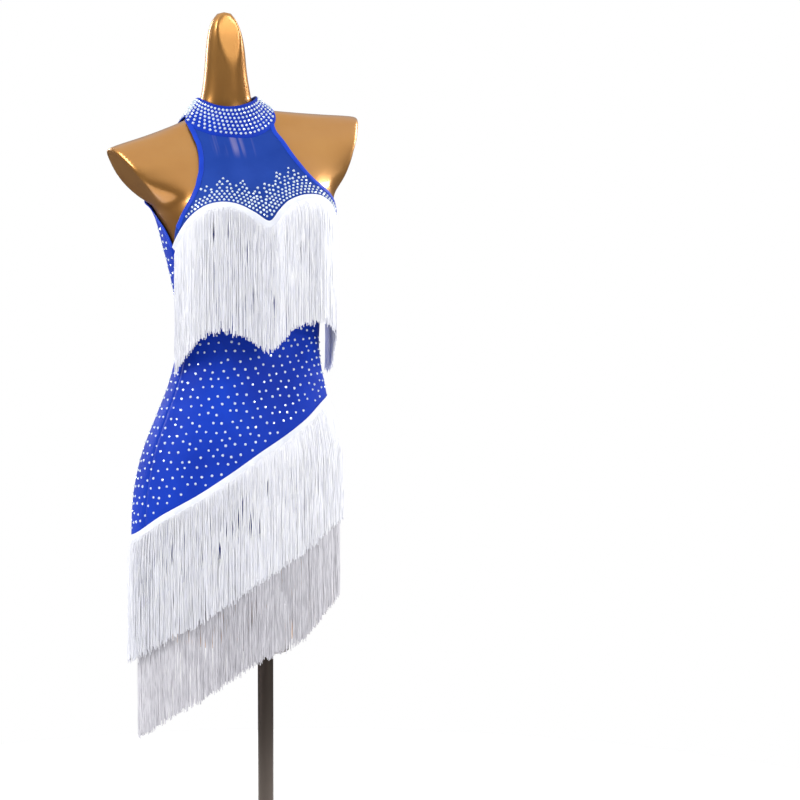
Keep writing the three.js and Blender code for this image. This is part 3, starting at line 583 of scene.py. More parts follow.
def painted_highlight_smears(material, across, low, strength):
    """Painted highlight: soft upright pale smears that stand for the form's glossy reflection seen
    through the mesh, between two places and above a height.
    """
    nodes, links = material.node_tree.nodes, material.node_tree.links
    shader = nodes["Principled BSDF"]
    plain = shader.inputs["Base Color"].links[0].from_socket
    where, split = nodes.new("ShaderNodeTexCoord"), nodes.new("ShaderNodeSeparateXYZ")
    links.new(where.outputs["Object"], split.inputs["Vector"])
    stretch, noise = nodes.new("ShaderNodeMapping"), nodes.new("ShaderNodeTexNoise")
    set_inputs(stretch, Scale=(1, 0, 0.05))
    set_inputs(noise, Scale=130, Detail=1)
    links.new(where.outputs["Object"], stretch.inputs["Vector"])
    links.new(stretch.outputs["Vector"], noise.inputs["Vector"])

    def ramp(source, start, end):
        node = nodes.new("ShaderNodeMapRange")
        node.interpolation_type = "SMOOTHSTEP"
        set_inputs(node, From_Min=start, From_Max=end)
        links.new(source, node.inputs["Value"])
        return node.outputs["Result"]

    shares = [
        ramp(split.outputs["X"], across[0], across[0] + PAINTED_HIGHLIGHT_EDGE),
        ramp(split.outputs["X"], across[1], across[1] - PAINTED_HIGHLIGHT_EDGE),
        ramp(split.outputs["Z"], low, low + PAINTED_HIGHLIGHT_FADE),
        ramp(noise.outputs["Fac"], 0.40, 0.68),
    ]
    total = None
    for share in shares:
        product = nodes.new("ShaderNodeMath")
        product.operation = "MULTIPLY"
        links.new(share, product.inputs[0])
        product.inputs[1].default_value = strength
        if total is not None:
            links.new(total, product.inputs[1])
        total = product.outputs[0]
    mixed = nodes.new("ShaderNodeMix")
    mixed.data_type = "RGBA"
    links.new(total, mixed.inputs["Factor"])
    links.new(plain, mixed.inputs["A"])
    mixed.inputs["B"].default_value = (*PAINTED_HIGHLIGHT_COLOUR, 1)
    links.new(mixed.outputs["Result"], shader.inputs["Base Color"])


# Painted highlight smears on the yoke's mesh near its top, standing for the form's gloss seen through it.
painted_highlight_smears(sheer_mesh, (-0.100, -0.030), 1.280, 0.93)

# ------------------------------------------------------------------------------ pattern lines
sweetheart = line(SWEETHEART)
collar_bottom_over = over(COLLAR_BOTTOM)
collar_top_over = over(COLLAR_TOP)
hip_over = over(HIP_LINE)
HIP_START = HIP_LINE[0][0]


def half_turn(degrees):
    return (np.asarray(degrees, float) + 180) % 360 - 180


def collar_bottom(degrees):
    return collar_bottom_over(np.where(np.abs(degrees) == 180, degrees, half_turn(degrees)))


def collar_top(degrees):
    return collar_top_over(np.where(np.abs(degrees) == 180, degrees, half_turn(degrees)))


def hip_height(degrees):
    return hip_over(HIP_START + (np.asarray(degrees, float) - HIP_START) % 360)


def upper_tape_line(share):
    degrees = HIP_START + 360 * np.asarray(share, float)
    return degrees, hip_height(degrees)


def lower_tape_line(share):
    degrees, height = upper_tape_line(share)
    return degrees, height - TIER_STEP - LOWER_DIP * np.exp(-(((degrees - 35) / 29) ** 2))


def hem_height(degrees):
    return hip_height(degrees) - TIER_STEP - HEM_BELOW_TAPE


def turned(points):
    return [(360 - a, h) for a, h in points]


# ------------------------------------------------------------------------------ the form
def make_form():
    """The closed, smooth shell of the dress form."""
    columns = 300
    heights = [FORM_BOTTOM]
    while heights[-1] < SECTIONS[-1, 0]:
        near_arms = 1200 < heights[-1] < 1370
        heights.append(heights[-1] + (2.0 if near_arms else 6))
    heights = np.minimum(np.array(heights), SECTIONS[-1, 0])
    angles = np.linspace(0, 2 * np.pi, columns, endpoint=False)
    angle, height = np.meshgrid(angles, heights)
    points = place(body_radius(angle, height), angle, height)
    rows = len(heights)
    vertices = points.reshape(-1, 3).tolist()
    faces = grid_faces(rows, columns, loops=True)
    for row, ways in ((0, -1), (rows - 1, 1)):
        ring = [row * columns + i for i in range(columns)][::ways]
        cap = points[row].mean(0)
        cap[2] += 3 if row else 0
        vertices.append(cap.tolist())
        centre = len(vertices) - 1
        faces += [(centre, ring[i], ring[(i + 1) % columns]) for i in range(columns)]
    return new_object("form_shell", np.array(vertices) * MM, faces, bronze_lacquer, "form_shell")


form_shell = make_form()


# ------------------------------------------------------------------------------ cloth panels
def front_grid(columns, rows):
    """The front, from its hem up to the sweetheart line."""
    def hem(t):
        degrees = SIDE_RIGHT + (SIDE_LEFT - SIDE_RIGHT) * t
        return degrees, hem_height(degrees)

    left = straight([float(v) for v in hem(0.0)], [float(v) for v in sweetheart(0.0)])
    right = straight([float(v) for v in hem(1.0)], [float(v) for v in sweetheart(1.0)])
    return fill(hem, sweetheart, left, right, columns, rows)


def share_at(along, degrees):
    shares = np.linspace(0, 1, 2001)
    return float(np.interp(degrees, along(shares)[0], shares))


def yoke_grid(columns, rows):
    """The yoke, between the armholes, from the sweetheart line up to the collar."""
    edges = (ARMHOLE_FRONT_RIGHT, ARMHOLE_FRONT_LEFT)
    start, end = [share_at(sweetheart, points[0][0]) for points in edges]
    top_start, top_end = [points[-1][0] for points in edges]

    def bottom(t):
        degrees, height = sweetheart(start + (end - start) * t)
        return degrees, height - 1.5

    def top(t):
        degrees = top_start + (top_end - top_start) * t
        return degrees, collar_bottom(degrees) + 2

    sides = []
    for points, t in zip(edges, (0.0, 1.0)):
        low, high = [tuple(float(v) for v in f(t)) for f in (bottom, top)]
        sides.append(line([low, *points[1:-1], high]))
    return fill(bottom, top, *sides, columns, rows)


def back_grids(detail):
    """The back in five parts round its opening: three below it and one at each side."""
    band, arc_columns = 8 * detail, 24 * detail
    low, side_rows = 34 * detail, 26 * detail
    corner = OPENING_SIDE[0]
    edge_right = 360 + SIDE_RIGHT
    span = edge_right - SIDE_LEFT
    shares = [0, (corner[0] - SIDE_LEFT) / span, (360 - corner[0] - SIDE_LEFT) / span, 1]
    arc = line(OPENING_BOTTOM + turned(OPENING_BOTTOM)[::-1][1:])
    left_cross = straight((SIDE_LEFT, corner[1]), corner)
    right_cross = straight((360 - corner[0], corner[1]), (edge_right, corner[1]))

    def piece(index, top, columns):
        def hem(t):
            degrees = SIDE_LEFT + span * (shares[index] + (shares[index + 1] - shares[index]) * t)
            return degrees, hem_height(degrees)

        ends = [[float(v) for v in f(e)] for f, e in ((hem, 0.0), (top, 0.0), (hem, 1.0), (top, 1.0))]
        return fill(hem, top, straight(ends[0], ends[1]), straight(ends[2], ends[3]), columns, low)

    def rim(start, end):
        def across(t):
            degrees = start + (end - start) * t
            return degrees, collar_bottom(degrees) + 2
        return across

    def up(points):
        degrees = points[-1][0]
        return [*points[:-1], (degrees, float(collar_bottom(degrees)) + 2)]

    left_arm = [(SIDE_LEFT, corner[1]), *up(ARMHOLE_BACK_LEFT)]
    right_arm = [(edge_right, corner[1]), *up(ARMHOLE_BACK_RIGHT)]
    opening, opening_right = up(OPENING_SIDE), up(turned(OPENING_SIDE))
    return [
        piece(0, left_cross, band),
        piece(1, arc, arc_columns),
        piece(2, right_cross, band),
        fill(left_cross, rim(left_arm[-1][0], opening[-1][0]), line(left_arm), line(opening),
             band, side_rows),
        fill(right_cross, rim(opening_right[-1][0], right_arm[-1][0]), line(opening_right),
             line(right_arm), band, side_rows),
    ]


front_body = cloth_panel(
    "front_cloth", [front_grid(90, 180)], CLOTH_OUTER, 1.2, blue_knit, "blue_stretch", True,
)
yoke = cloth_panel("yoke_mesh", [yoke_grid(60, 44)], CLOTH_OUTER - 0.3, 0.6, sheer_mesh, "sheer_mesh")
back_body = cloth_panel(
    "back_cloth", back_grids(2), CLOTH_OUTER, 1.2, blue_knit, "blue_stretch", True,
)


# ------------------------------------------------------------------------------ collar
def collar_points(degrees, share, out):
    """Places on the collar: share 0 at its foot and 1 at its rim."""
    degrees, share = np.broadcast_arrays(np.asarray(degrees, float), np.asarray(share, float))
    foot = on_cloth(degrees, collar_bottom(degrees), CLOTH_INNER + out)
    rim = on_cloth(degrees, collar_top(degrees), CLOTH_INNER + COLLAR_STAND_OFF + out)
    return foot + (rim - foot) * share[..., None]


def collar_grid_object(name, degrees, shares, out, thickness, rounding):
    rows, columns = shares.shape
    points = collar_points(degrees, shares, out)
    faces = grid_faces(rows, columns)
    piece = new_object(name, points.reshape(-1, 3) * MM, faces, blue_knit, "blue_stretch")
    return thicken(piece, thickness, rounding)


angle_row, share_column = np.meshgrid(np.linspace(-178, 178, 180), np.linspace(-0.02, 1, 14))
collar = collar_grid_object("collar_band", angle_row, share_column, COLLAR_THICKNESS, 1.6, 0.5)
tab_angles, tab_shares = np.meshgrid(np.linspace(-1, 1, 13), np.linspace(0, 1, 12))
tab_point = -0.22 * (1 - np.abs(tab_angles) ** 1.5)
tab = collar_grid_object(
    "collar_closing_strip",
    TAB_MIDDLE + TAB_HALF_ANGLE * tab_angles,
    tab_point + (1.0 - tab_point) * tab_shares,
    3.4, 1.2, 0.4,
)


# ------------------------------------------------------------------------------ strips
STRIP_CROWN = 0.5


def strip_object(name, along, steps, start, width, material, slot, out, thickness, loops=False):
    """A strip on the cloth beside a line, its middle a little raised."""
    share = np.linspace(0, 1, steps + 1)
    if loops:
        share = share[:-1]
    across = np.linspace(0, 1, 6)
    rows = []
    for part in across[::-1]:
        degrees, height = beside(along, share, start + width * part, loops)
        lift = out + STRIP_CROWN * (1 - (2 * part - 1) ** 2)
        rows.append(on_cloth(degrees, height, lift))
    points = np.array(rows)
    faces = grid_faces(points.shape[0], points.shape[1], loops)
    piece = new_object(name, points.reshape(-1, 3) * MM, faces, material, slot)
    return thicken(piece, thickness, 0.25)


def to_collar(points):
    return [*points[:-1], (points[-1][0], float(collar_bottom(points[-1][0])) + 1)]


front_left = to_collar(ARMHOLE_FRONT_LEFT)[1:]
front_right = [(-68, 1182), *to_collar(ARMHOLE_FRONT_RIGHT)[2:]]
back_left = to_collar(ARMHOLE_BACK_LEFT)
back_right = to_collar(ARMHOLE_BACK_RIGHT)
opening_half = to_collar(OPENING_SIDE)[::-1] + OPENING_BOTTOM[1:]
opening_line = line(opening_half + turned(opening_half)[::-1][1:])

BINDINGS = [
    ("binding_front_left", line(front_left[::-1]), 70),
    ("binding_front_right", line(front_right), 70),
    ("binding_back_left", line(back_left), 80),
    ("binding_back_right", line(back_right[::-1]), 90),
    ("binding_opening", opening_line, 220),
]
ARM_EDGES = [along for name, along, steps in BINDINGS[:4]]
bindings = {
    name: strip_object(name + "_fold", along, steps, -0.8, BINDING_WIDTH, blue_binding,
                       "blue_stretch", CLOTH_OUTER + 0.3, 1.0)
    for name, along, steps in BINDINGS
}
tapes = {
    "tape_bust": strip_object("bust_tape", sweetheart, 200, -0.5, TAPE_WIDTH, white_tape,
                              "white_tape", CLOTH_OUTER + 1.2, 1.2),
    "tape_hip_upper": strip_object("hip_tape_upper", upper_tape_line, 320, 0, TAPE_WIDTH,
                                   white_tape, "white_tape", CLOTH_OUTER + 1.2, 1.2, True),
    "tape_hip_lower": strip_object("hip_tape_lower", lower_tape_line, 320, 0, TAPE_WIDTH,
                                   white_tape, "white_tape", CLOTH_OUTER + 0.8, 0.8, True),
}


# ------------------------------------------------------------------------------ fringe
def hang(start, lengths, steps, stand_off):
    """The ways down from many points: straight, but pushed out where the body fills them."""
    here = start.copy()
    path = [start.copy()]
    for k in range(1, steps + 1):
        drop = lengths * (k / steps) ** 1.3
        here[:, 2] = start[:, 2] - drop
        level = np.maximum(here[:, 2], FORM_BOTTOM)
        height = level.copy()
        for _ in range(6):
            height = level - (here[:, 0] - centre_x(height)) * np.tan(np.radians(tilt(height)))
        across = here[:, 0] - centre_x(height)
        forward = centre_y(height) - here[:, 1]
        angle = np.arctan2(across, forward)
        least = cloth_radius(angle, height) + stand_off(drop)
        radius = np.maximum(np.hypot(across, forward), least)
        here[:, 0] = centre_x(height) + radius * np.sin(angle)
        here[:, 1] = centre_y(height) - radius * np.cos(angle)
        path.append(here.copy())
    return np.array(path)


def thread_tree():
    """Threads: tubes along the edges of a mesh, capped at their ends."""
    tree = bpy.data.node_groups.new("threads along lines", "GeometryNodeTree")
    for name, kind in (("Geometry", "NodeSocketGeometry"), ("Thread Radius", "NodeSocketFloat"),
                       ("Sides", "NodeSocketInt"), ("Material", "NodeSocketMaterial")):
        tree.interface.new_socket(name, in_out="INPUT", socket_type=kind)
    tree.interface.new_socket("Geometry", in_out="OUTPUT", socket_type="NodeSocketGeometry")
    nodes, links = tree.nodes, tree.links
    inward, outward = nodes.new("NodeGroupInput"), nodes.new("NodeGroupOutput")
    lines, tubes = nodes.new("GeometryNodeMeshToCurve"), nodes.new("GeometryNodeCurveToMesh")
    outline = nodes.new("GeometryNodeCurvePrimitiveCircle")
    smooth = nodes.new("GeometryNodeSetShadeSmooth")
    real, paint = nodes.new("GeometryNodeRealizeInstances"), nodes.new("GeometryNodeSetMaterial")
    tubes.inputs["Fill Caps"].default_value = True
    links.new(inward.outputs["Geometry"], lines.inputs["Mesh"])
    links.new(inward.outputs["Sides"], outline.inputs["Resolution"])
    links.new(inward.outputs["Thread Radius"], outline.inputs["Radius"])
    links.new(lines.outputs["Curve"], tubes.inputs["Curve"])
    links.new(outline.outputs["Curve"], tubes.inputs["Profile Curve"])
    links.new(tubes.outputs["Mesh"], smooth.inputs["Geometry"])
    links.new(smooth.outputs["Geometry"], real.inputs["Geometry"])
    links.new(real.outputs["Geometry"], paint.inputs["Geometry"])
    links.new(inward.outputs["Material"], paint.inputs["Material"])
    links.new(paint.outputs["Geometry"], outward.inputs["Geometry"])
    return tree


THREADS = thread_tree()


def socket_ids(tree):
    return {s.name: s.identifier for s in tree.interface.items_tree
            if s.item_type == "SOCKET" and s.in_out == "INPUT"}


def run_nodes(piece, tree, **values):
    """Runs a Geometry Nodes tree on a piece and keeps its result as a plain mesh."""
    modifier = piece.modifiers.new("nodes", "NODES")
    modifier.node_group = tree
    ids = socket_ids(tree)
    for name, value in values.items():
        modifier[ids[name.replace("_", " ")]] = value
    piece.data.update()
    bpy.context.view_layer.update()
    return baked(piece)


def thread_lines(name, paths, radius, sides, material, slot):
    """One piece of threads from an array of paths: steps, threads and places."""
    steps, count = paths.shape[:2]
    vertices = paths.transpose(1, 0, 2).reshape(-1, 3) * MM
    first = (np.arange(count) * steps)[:, None] + np.arange(steps - 1)[None, :]
    edges = np.stack([first, first + 1], -1).reshape(-1, 2)
    mesh = bpy.data.meshes.new(name)
    mesh.from_pydata(vertices.tolist(), edges.tolist(), [])
    piece = bpy.data.objects.new(name, mesh)
    bpy.context.scene.collection.objects.link(piece)
    piece["slot_name"] = slot
    return run_nodes(piece, THREADS, Thread_Radius=radius * MM, Sides=sides, Material=material)


def wander(x, count, low, high, seed):
    """A smooth, uneven wave of x between -1 and 1."""
    own = np.random.default_rng(seed)
    total = np.zeros_like(x)
    for _ in range(count):
        total += np.sin(x * own.uniform(low, high) + own.uniform(0, 6.28)) * own.uniform(0.5, 1)
    return total / count


def part_at_slits(path, position, start_height, slits):
    """Moves threads aside where locks part: place along the header, drop from, to, half width."""
    drop = start_height[None] - path[..., 2]
    shift = np.zeros(drop.shape)
    for at, high, low, width in slits:
        off = position - at
        open_here = np.clip((drop - high) / 12, 0, 1) * np.clip((low - drop) / 25, 0, 1)
        shift += np.sign(off) * width * np.exp(-np.abs(off) / (2.5 * width)) * open_here
    return shift


def make_fringe(name, along, length_of_line, pitch, layers, stand_off, seed, loops, slits, material,
                layer_step=1.1, steps=13):
    """Layers of threads that hang from a header, uneven in length, sway and crinkle."""
    own = np.random.default_rng(seed)
    all_paths = []
    for layer in range(layers):
        count = int(length_of_line / pitch)
        shares = (np.arange(count) + 0.5 + (layer % 2) * 0.5 + own.uniform(-0.3, 0.3, count)) / count
        shares = shares % 1 if loops else np.clip(shares, 0.001, 0.999)
        degrees, height = beside(along, shares, TAPE_WIDTH - 2, loops)
        start = on_cloth(degrees, height, CLOTH_OUTER + 0.5 + 0.3 * layer)
        position = shares * length_of_line
        lengths = FRINGE_LENGTH + 3 * wander(position, 6, 0.03, 0.3, seed + 1)
        lengths += own.normal(0, 3.2, count) - 8 * (own.uniform(0, 1, count) > 0.93)
        path = hang(start, lengths, steps, lambda drop: stand_off(drop) + layer * layer_step)
        centre = np.array([path[..., 0].mean(), path[..., 1].mean()])
        outward = path[..., :2] - centre
        outward = outward / np.linalg.norm(outward, axis=-1, keepdims=True)
        sideways = np.stack([-outward[..., 1], outward[..., 0]], -1)
        fall = (np.arange(steps + 1) / steps)[:, None]
        sway = (fall ** 1.2) * (2.2 * wander(position, 8, 0.05, 0.6, seed + 2)
                                + own.normal(0, 0.7, count))[None, :]
        crinkle = np.zeros((steps + 1, count))
        for wave in (5, 11, 19, 31):
            size = own.uniform(0.1, 2.2, count) / wave ** 0.6
            crinkle += size * np.sin(fall * (wave + own.uniform(-2, 2, count))
                                     + own.uniform(0, 6.28, count))
        parting = part_at_slits(path, position, start[:, 2], slits)
        path[..., :2] += sideways * (sway + crinkle * np.minimum(3 * fall, 1) + parting)[..., None]
        bumps = np.sin(fall * own.uniform(8, 30, count) + own.uniform(0, 6.28, count))
        push = (fall ** 0.7) * (0.5 + bumps * 0.5) * own.uniform(0, 1.3, count)[None, :]
        path[..., :2] += outward * push[..., None]
        all_paths.append(path)
    return thread_lines(name, np.concatenate(all_paths, 1), THREAD_RADIUS, 3, material, "white_fringe")


def length_along(along):
    points = on_cloth(*along(np.linspace(0, 1, 800)), CLOTH_OUTER)
    return float(np.linalg.norm(np.diff(points, axis=0), axis=1).sum())


def slits_at(along, places, seed, count, widest):
    """Partings at chosen angles, and more all round: angle, drop from, drop to, half width."""
    own = np.random.default_rng(seed)
    shares = np.linspace(0, 1, 1500)
    angles = along(shares)[0]
    total = length_along(along)
    chosen = [(float(np.interp(a, angles, shares)) * total, high, low, width)
              for a, high, low, width in places]
    low_drop = own.uniform(30, 110, count)
    spread = own.uniform(15, 60, count)
    more = zip(own.uniform(0, 1, count) * total, low_drop, low_drop + spread,
               own.uniform(0.5, widest, count))
    return chosen + [tuple(float(v) for v in row) for row in more]


THREAD_RADIUS = 0.72
NEAR = CLOTH_OUTER + 1.5
# angle, drop from and to, and half width of each parting of the threads
BUST_SLITS = [
    (-37, 22, 66, 3.0), (-37, 76, 150, 1.6), (-29, 24, 56, 3.0), (-29, 70, 140, 1.4),
    (-1, 8, 30, 2.0), (17, 60, 104, 2.4), (20, 50, 84, 2.0), (25, 62, 96, 1.8),
    (34, 80, 104, 2.2), (38, 30, 76, 2.0), (43, 22, 76, 2.4),
]
HIP_SLITS = [
    (-57, 66, 104, 1.7), (-46, 84, 110, 2.0), (-35, 80, 118, 1.9), (-30, 56, 94, 1.6),
    (-26, 62, 96, 1.6), (-12, 70, 128, 1.7), (-4, 84, 138, 1.9), (3, 36, 74, 1.6), (8, 66, 98, 1.5),
    (24, 36, 78, 1.4), (34, 32, 56, 1.6),
]
fringe_bust = make_fringe(
    "bust_fringe", sweetheart, length_along(sweetheart), 1.3, 3, lambda drop: NEAR + 1.5, 11, False,
    slits_at(sweetheart, BUST_SLITS, 5, 24, 1.5), fringe_thread,
)
fringe_upper = make_fringe(
    "hip_fringe_upper", upper_tape_line, length_along(upper_tape_line), 1.55, 3,
    lambda drop: NEAR + 5 * np.minimum(drop / 80, 1), 23, True,
    slits_at(upper_tape_line, HIP_SLITS, 6, 70, 1.9), fringe_thread, 1.0, 12,
)
# The lower tier's threads take the darkened copy of the thread colour, as painted shade.
fringe_lower = make_fringe(
    "hip_fringe_lower", lower_tape_line, length_along(lower_tape_line), 1.55, 3,
    lambda drop: NEAR - 0.6, 37, True,
    slits_at(lower_tape_line, [], 8, 60, 1.5), lower_thread_in_painted_shade, 0.8, 12,
)


# ------------------------------------------------------------------------------ straps
def spline_points(route, per_span):
    """Points of a smooth curve through a route, in metres."""
    route = np.array(route)
    ends = np.vstack([2 * route[0] - route[1], route, 2 * route[-1] - route[-2]])
    t = np.linspace(0, 1, per_span, endpoint=False)[:, None]
    spans = []
    for i in range(1, len(ends) - 2):
        a, b, c, d = ends[i - 1], ends[i], ends[i + 1], ends[i + 2]
        spans.append(0.5 * (2 * b + (c - a) * t + (2 * a - 5 * b + 4 * c - d) * t ** 2
                            + (3 * b - a - 3 * c + d) * t ** 3))
    return np.vstack([*spans, ends[-2:-1]])


def make_strap(name, route):
    """A flat strap along its route, with its middle line and its outward directions."""
    middle = spline_points(route, 5)
    down = unit(np.gradient(middle, axis=0))
    across = np.array([1.0, 0, 0]) - down * down[:, :1]
    across = unit(across)
    out = np.cross(across, down)
    out = unit(out)
    out[out[:, 1] < 0] *= -1
    widths = np.linspace(-0.5, 0.5, 7) * STRAP_WIDTH
    crown = 0.0003 * (1 - (widths / (0.5 * STRAP_WIDTH)) ** 2)
    points = (middle[:, None] + across[:, None] * widths[None, :, None]
              + out[:, None] * (crown + STRAP_THICKNESS / 2)[None, :, None])
    faces = grid_faces(len(middle), len(widths))
    piece = new_object(name + "_tape", points.reshape(-1, 3), faces, white_tape, "white_tape")
    piece = thicken(piece, STRAP_THICKNESS / MM, 0.25)
    return piece, middle, out


straps = {name: make_strap(name, route) for name, route in STRAP_ROUTES.items()}


# ------------------------------------------------------------------------------ stones
def stone_tree():
    """Flat-backed faceted stones standing on points along their outward direction."""
    tree = bpy.data.node_groups.new("stones on points", "GeometryNodeTree")
    for name, kind in (("Geometry", "NodeSocketGeometry"), ("Height Share", "NodeSocketFloat"),
                       ("Table Share", "NodeSocketFloat"), ("Facets", "NodeSocketInt"),
                       ("Material", "NodeSocketMaterial")):
        tree.interface.new_socket(name, in_out="INPUT", socket_type=kind)
    tree.interface.new_socket("Geometry", in_out="OUTPUT", socket_type="NodeSocketGeometry")
    nodes, links = tree.nodes, tree.links
    inward, outward = nodes.new("NodeGroupInput"), nodes.new("NodeGroupOutput")
    stone, on_points = nodes.new("GeometryNodeMeshCone"), nodes.new("GeometryNodeInstanceOnPoints")
    stone.fill_type = "NGON"
    stone.inputs["Radius Bottom"].default_value = 1
    links.new(inward.outputs["Facets"], stone.inputs["Vertices"])
    links.new(inward.outputs["Table Share"], stone.inputs["Radius Top"])
    links.new(inward.outputs["Height Share"], stone.inputs["Depth"])
    way, size, turn = [nodes.new("GeometryNodeInputNamedAttribute") for _ in range(3)]
    for node, kind, name in ((way, "FLOAT_VECTOR", "outward"), (size, "FLOAT", "stone_radius"),
                             (turn, "FLOAT", "turn")):
        node.data_type = kind
        node.inputs["Name"].default_value = name
    align, spin = nodes.new("FunctionNodeAlignRotationToVector"), nodes.new("FunctionNodeRotateRotation")
    own_turn = nodes.new("FunctionNodeAxisAngleToRotation")
    align.axis = "Z"
    spin.rotation_space = "LOCAL"
    own_turn.inputs["Axis"].default_value = (0, 0, 1)
    real, paint = nodes.new("GeometryNodeRealizeInstances"), nodes.new("GeometryNodeSetMaterial")
    links.new(way.outputs["Attribute"], align.inputs["Vector"])
    links.new(turn.outputs["Attribute"], own_turn.inputs["Angle"])
    links.new(align.outputs["Rotation"], spin.inputs["Rotation"])
    links.new(own_turn.outputs["Rotation"], spin.inputs["Rotate By"])
    links.new(inward.outputs["Geometry"], on_points.inputs["Points"])
    links.new(stone.outputs["Mesh"], on_points.inputs["Instance"])
    links.new(spin.outputs["Rotation"], on_points.inputs["Rotation"])
    links.new(size.outputs["Attribute"], on_points.inputs["Scale"])
    links.new(on_points.outputs["Instances"], real.inputs["Geometry"])
    links.new(real.outputs["Geometry"], paint.inputs["Geometry"])
    links.new(inward.outputs["Material"], paint.inputs["Material"])
    links.new(paint.outputs["Geometry"], outward.inputs["Geometry"])
    return tree


STONES = stone_tree()


def set_stones(name, points, outward, radii, material):
    """One piece of stones at points in metres, each facing its own way."""
    mesh = bpy.data.meshes.new(name)
    mesh.from_pydata(np.asarray(points).tolist(), [], [])
    ways = mesh.attributes.new("outward", "FLOAT_VECTOR", "POINT")
    ways.data.foreach_set("vector", np.asarray(outward, np.float32).ravel())
    sizes = mesh.attributes.new("stone_radius", "FLOAT", "POINT")
    sizes.data.foreach_set("value", np.asarray(radii, np.float32))
    turns = mesh.attributes.new("turn", "FLOAT", "POINT")
    turns.data.foreach_set("value", rng.uniform(0, 6.28, len(points)).astype(np.float32))
    piece = bpy.data.objects.new(name, mesh)
    bpy.context.scene.collection.objects.link(piece)
    piece["slot_name"] = "stones"
    return run_nodes(piece, STONES, Height_Share=0.75, Table_Share=0.5, Facets=8, Material=material)


def stones_on_cloth(name, degrees, height, radius, out=CLOTH_OUTER):
    degrees, height = np.asarray(degrees, float), np.asarray(height, float)
    ways = facing(np.radians(degrees), height)
    lean = unit(ways + rng.normal(0, 0.06, ways.shape))
    radii = radius * MM * rng.uniform(0.88, 1.12, len(degrees))
    points = on_cloth(degrees, height, out) * MM
    return set_stones(name, points, lean, radii, clear_stone)


def line_points(along):
    return on_cloth(*along(np.linspace(0, 1, 400)), CLOTH_OUTER)


def apart(points, least):
    """Which points to keep, so that none is closer than least to one already kept."""
    kept = []
    for index, point in enumerate(points):
        if not kept or np.linalg.norm(points[kept] - point, axis=1).min() > least:
            kept.append(index)
    return kept


def nearest(points, lines):
    """The least distance of each point to a set of lines, in millimetres."""
    least = np.full(len(points), np.inf)
    for one in lines:
        gap = np.linalg.norm(points[:, None] - one[None], axis=-1)
        least = np.minimum(least, gap.min(1))
    return least


def scattered(pitch, low, high, jitter, seed):
    """Staggered rows over the whole body, a pitch apart, as angles and heights."""
    own = np.random.default_rng(seed)
    angles, heights = [], []
    fine = np.radians(np.linspace(0, 360, 721))
    for row, level in enumerate(np.arange(low, high, pitch * 0.87)):
        ring = place(cloth_radius(fine, np.full(721, level)), fine, np.full(721, level))
        way = np.concatenate([[0], np.cumsum(np.linalg.norm(np.diff(ring, axis=0), axis=1))])
        count = int(way[-1] / pitch)
        at = (np.arange(count) + 0.5 * (row % 2) + own.uniform(-jitter, jitter, count)) * way[-1] / count
        angles.append(np.degrees(np.interp(at % way[-1], way, fine)))
        heights.append(level + own.uniform(-jitter, jitter, count) * pitch)
    return np.concatenate(angles), np.concatenate(heights)


BODY_STONE_PITCH = 15.0
COVERED_BY_BUST_FRINGE = 165
CLEAR_OF_OPENING = 31
CLEAR_OF_ARMHOLE = 12


def body_stones():
    """Places of the stones on the plain blue cloth, clear of the edges, the fringe and the hip."""
    degrees, height = scattered(BODY_STONE_PITCH, 700, 1330, 0.2, 3)
    turn = half_turn(degrees)
    points = on_cloth(turn, height, CLOTH_OUTER)
    on_back = (turn > SIDE_LEFT) | (turn < SIDE_RIGHT)
    above_hip = height > hip_height(turn) + 8
    chest = np.interp(turn, *[np.array(v) for v in zip(*SWEETHEART)])
    front = ~on_back & (height < chest - COVERED_BY_BUST_FRINGE)
    side_angle = np.abs(turn)
    opening = np.interp(height, *[np.array(v) for v in zip(*[p[::-1] for p in OPENING_SIDE])])
    arc = np.interp(side_angle, *[np.array(v) for v in zip(*OPENING_BOTTOM)])
    arm = [np.interp(height, *[np.array(v) for v in zip(*[p[::-1] for p in points])])
           for points in (ARMHOLE_BACK_LEFT, ARMHOLE_BACK_RIGHT)]
    outer = np.where(turn > 0, arm[0], 360 - arm[1])
    outer = np.where(height < 1147, 0, outer)
    low_part = height < OPENING_SIDE[0][1]
    back = on_back & np.where(low_part, (side_angle < 128) | (height < arc),
                              (side_angle < opening) & (side_angle > outer))
    back &= height < collar_bottom(turn) - 6
    gap_opening = nearest(points, [line_points(opening_line)])
    gap_arm = nearest(points, [line_points(along) for along in ARM_EDGES[2:]])
    keep = above_hip & (front | (back & (gap_opening > CLEAR_OF_OPENING) & (gap_arm > CLEAR_OF_ARMHOLE)))
    return turn[keep], height[keep]


def rows_beside(along, distances, pitch, length):
    """Staggered rows of places at distances from a line, a pitch apart along it."""
    degrees, heights = [], []
    for k, distance in enumerate(distances):
        count = int(length / pitch)
        shares = (np.arange(count) + (0.5 if k % 2 else 0.0) + 0.25) / count
        a, h = beside(along, np.clip(shares, 0.002, 0.998), distance)
        degrees.append(a)
        heights.append(h)
    return np.concatenate(degrees), np.concatenate(heights)


def opening_stones():
    """Places of the rows of stones round the opening of the back."""
    length = length_along(opening_line)
    degrees, heights = rows_beside(opening_line, (11, 16, 21, 26), 6.6, length)
    inside = heights < collar_bottom(degrees) - 3
    arms = [line_points(along) for along in ARM_EDGES[2:]]
    clear = nearest(on_cloth(degrees, heights, CLOTH_OUTER), arms) > 10
    keep = inside & clear
    return degrees[keep], heights[keep]


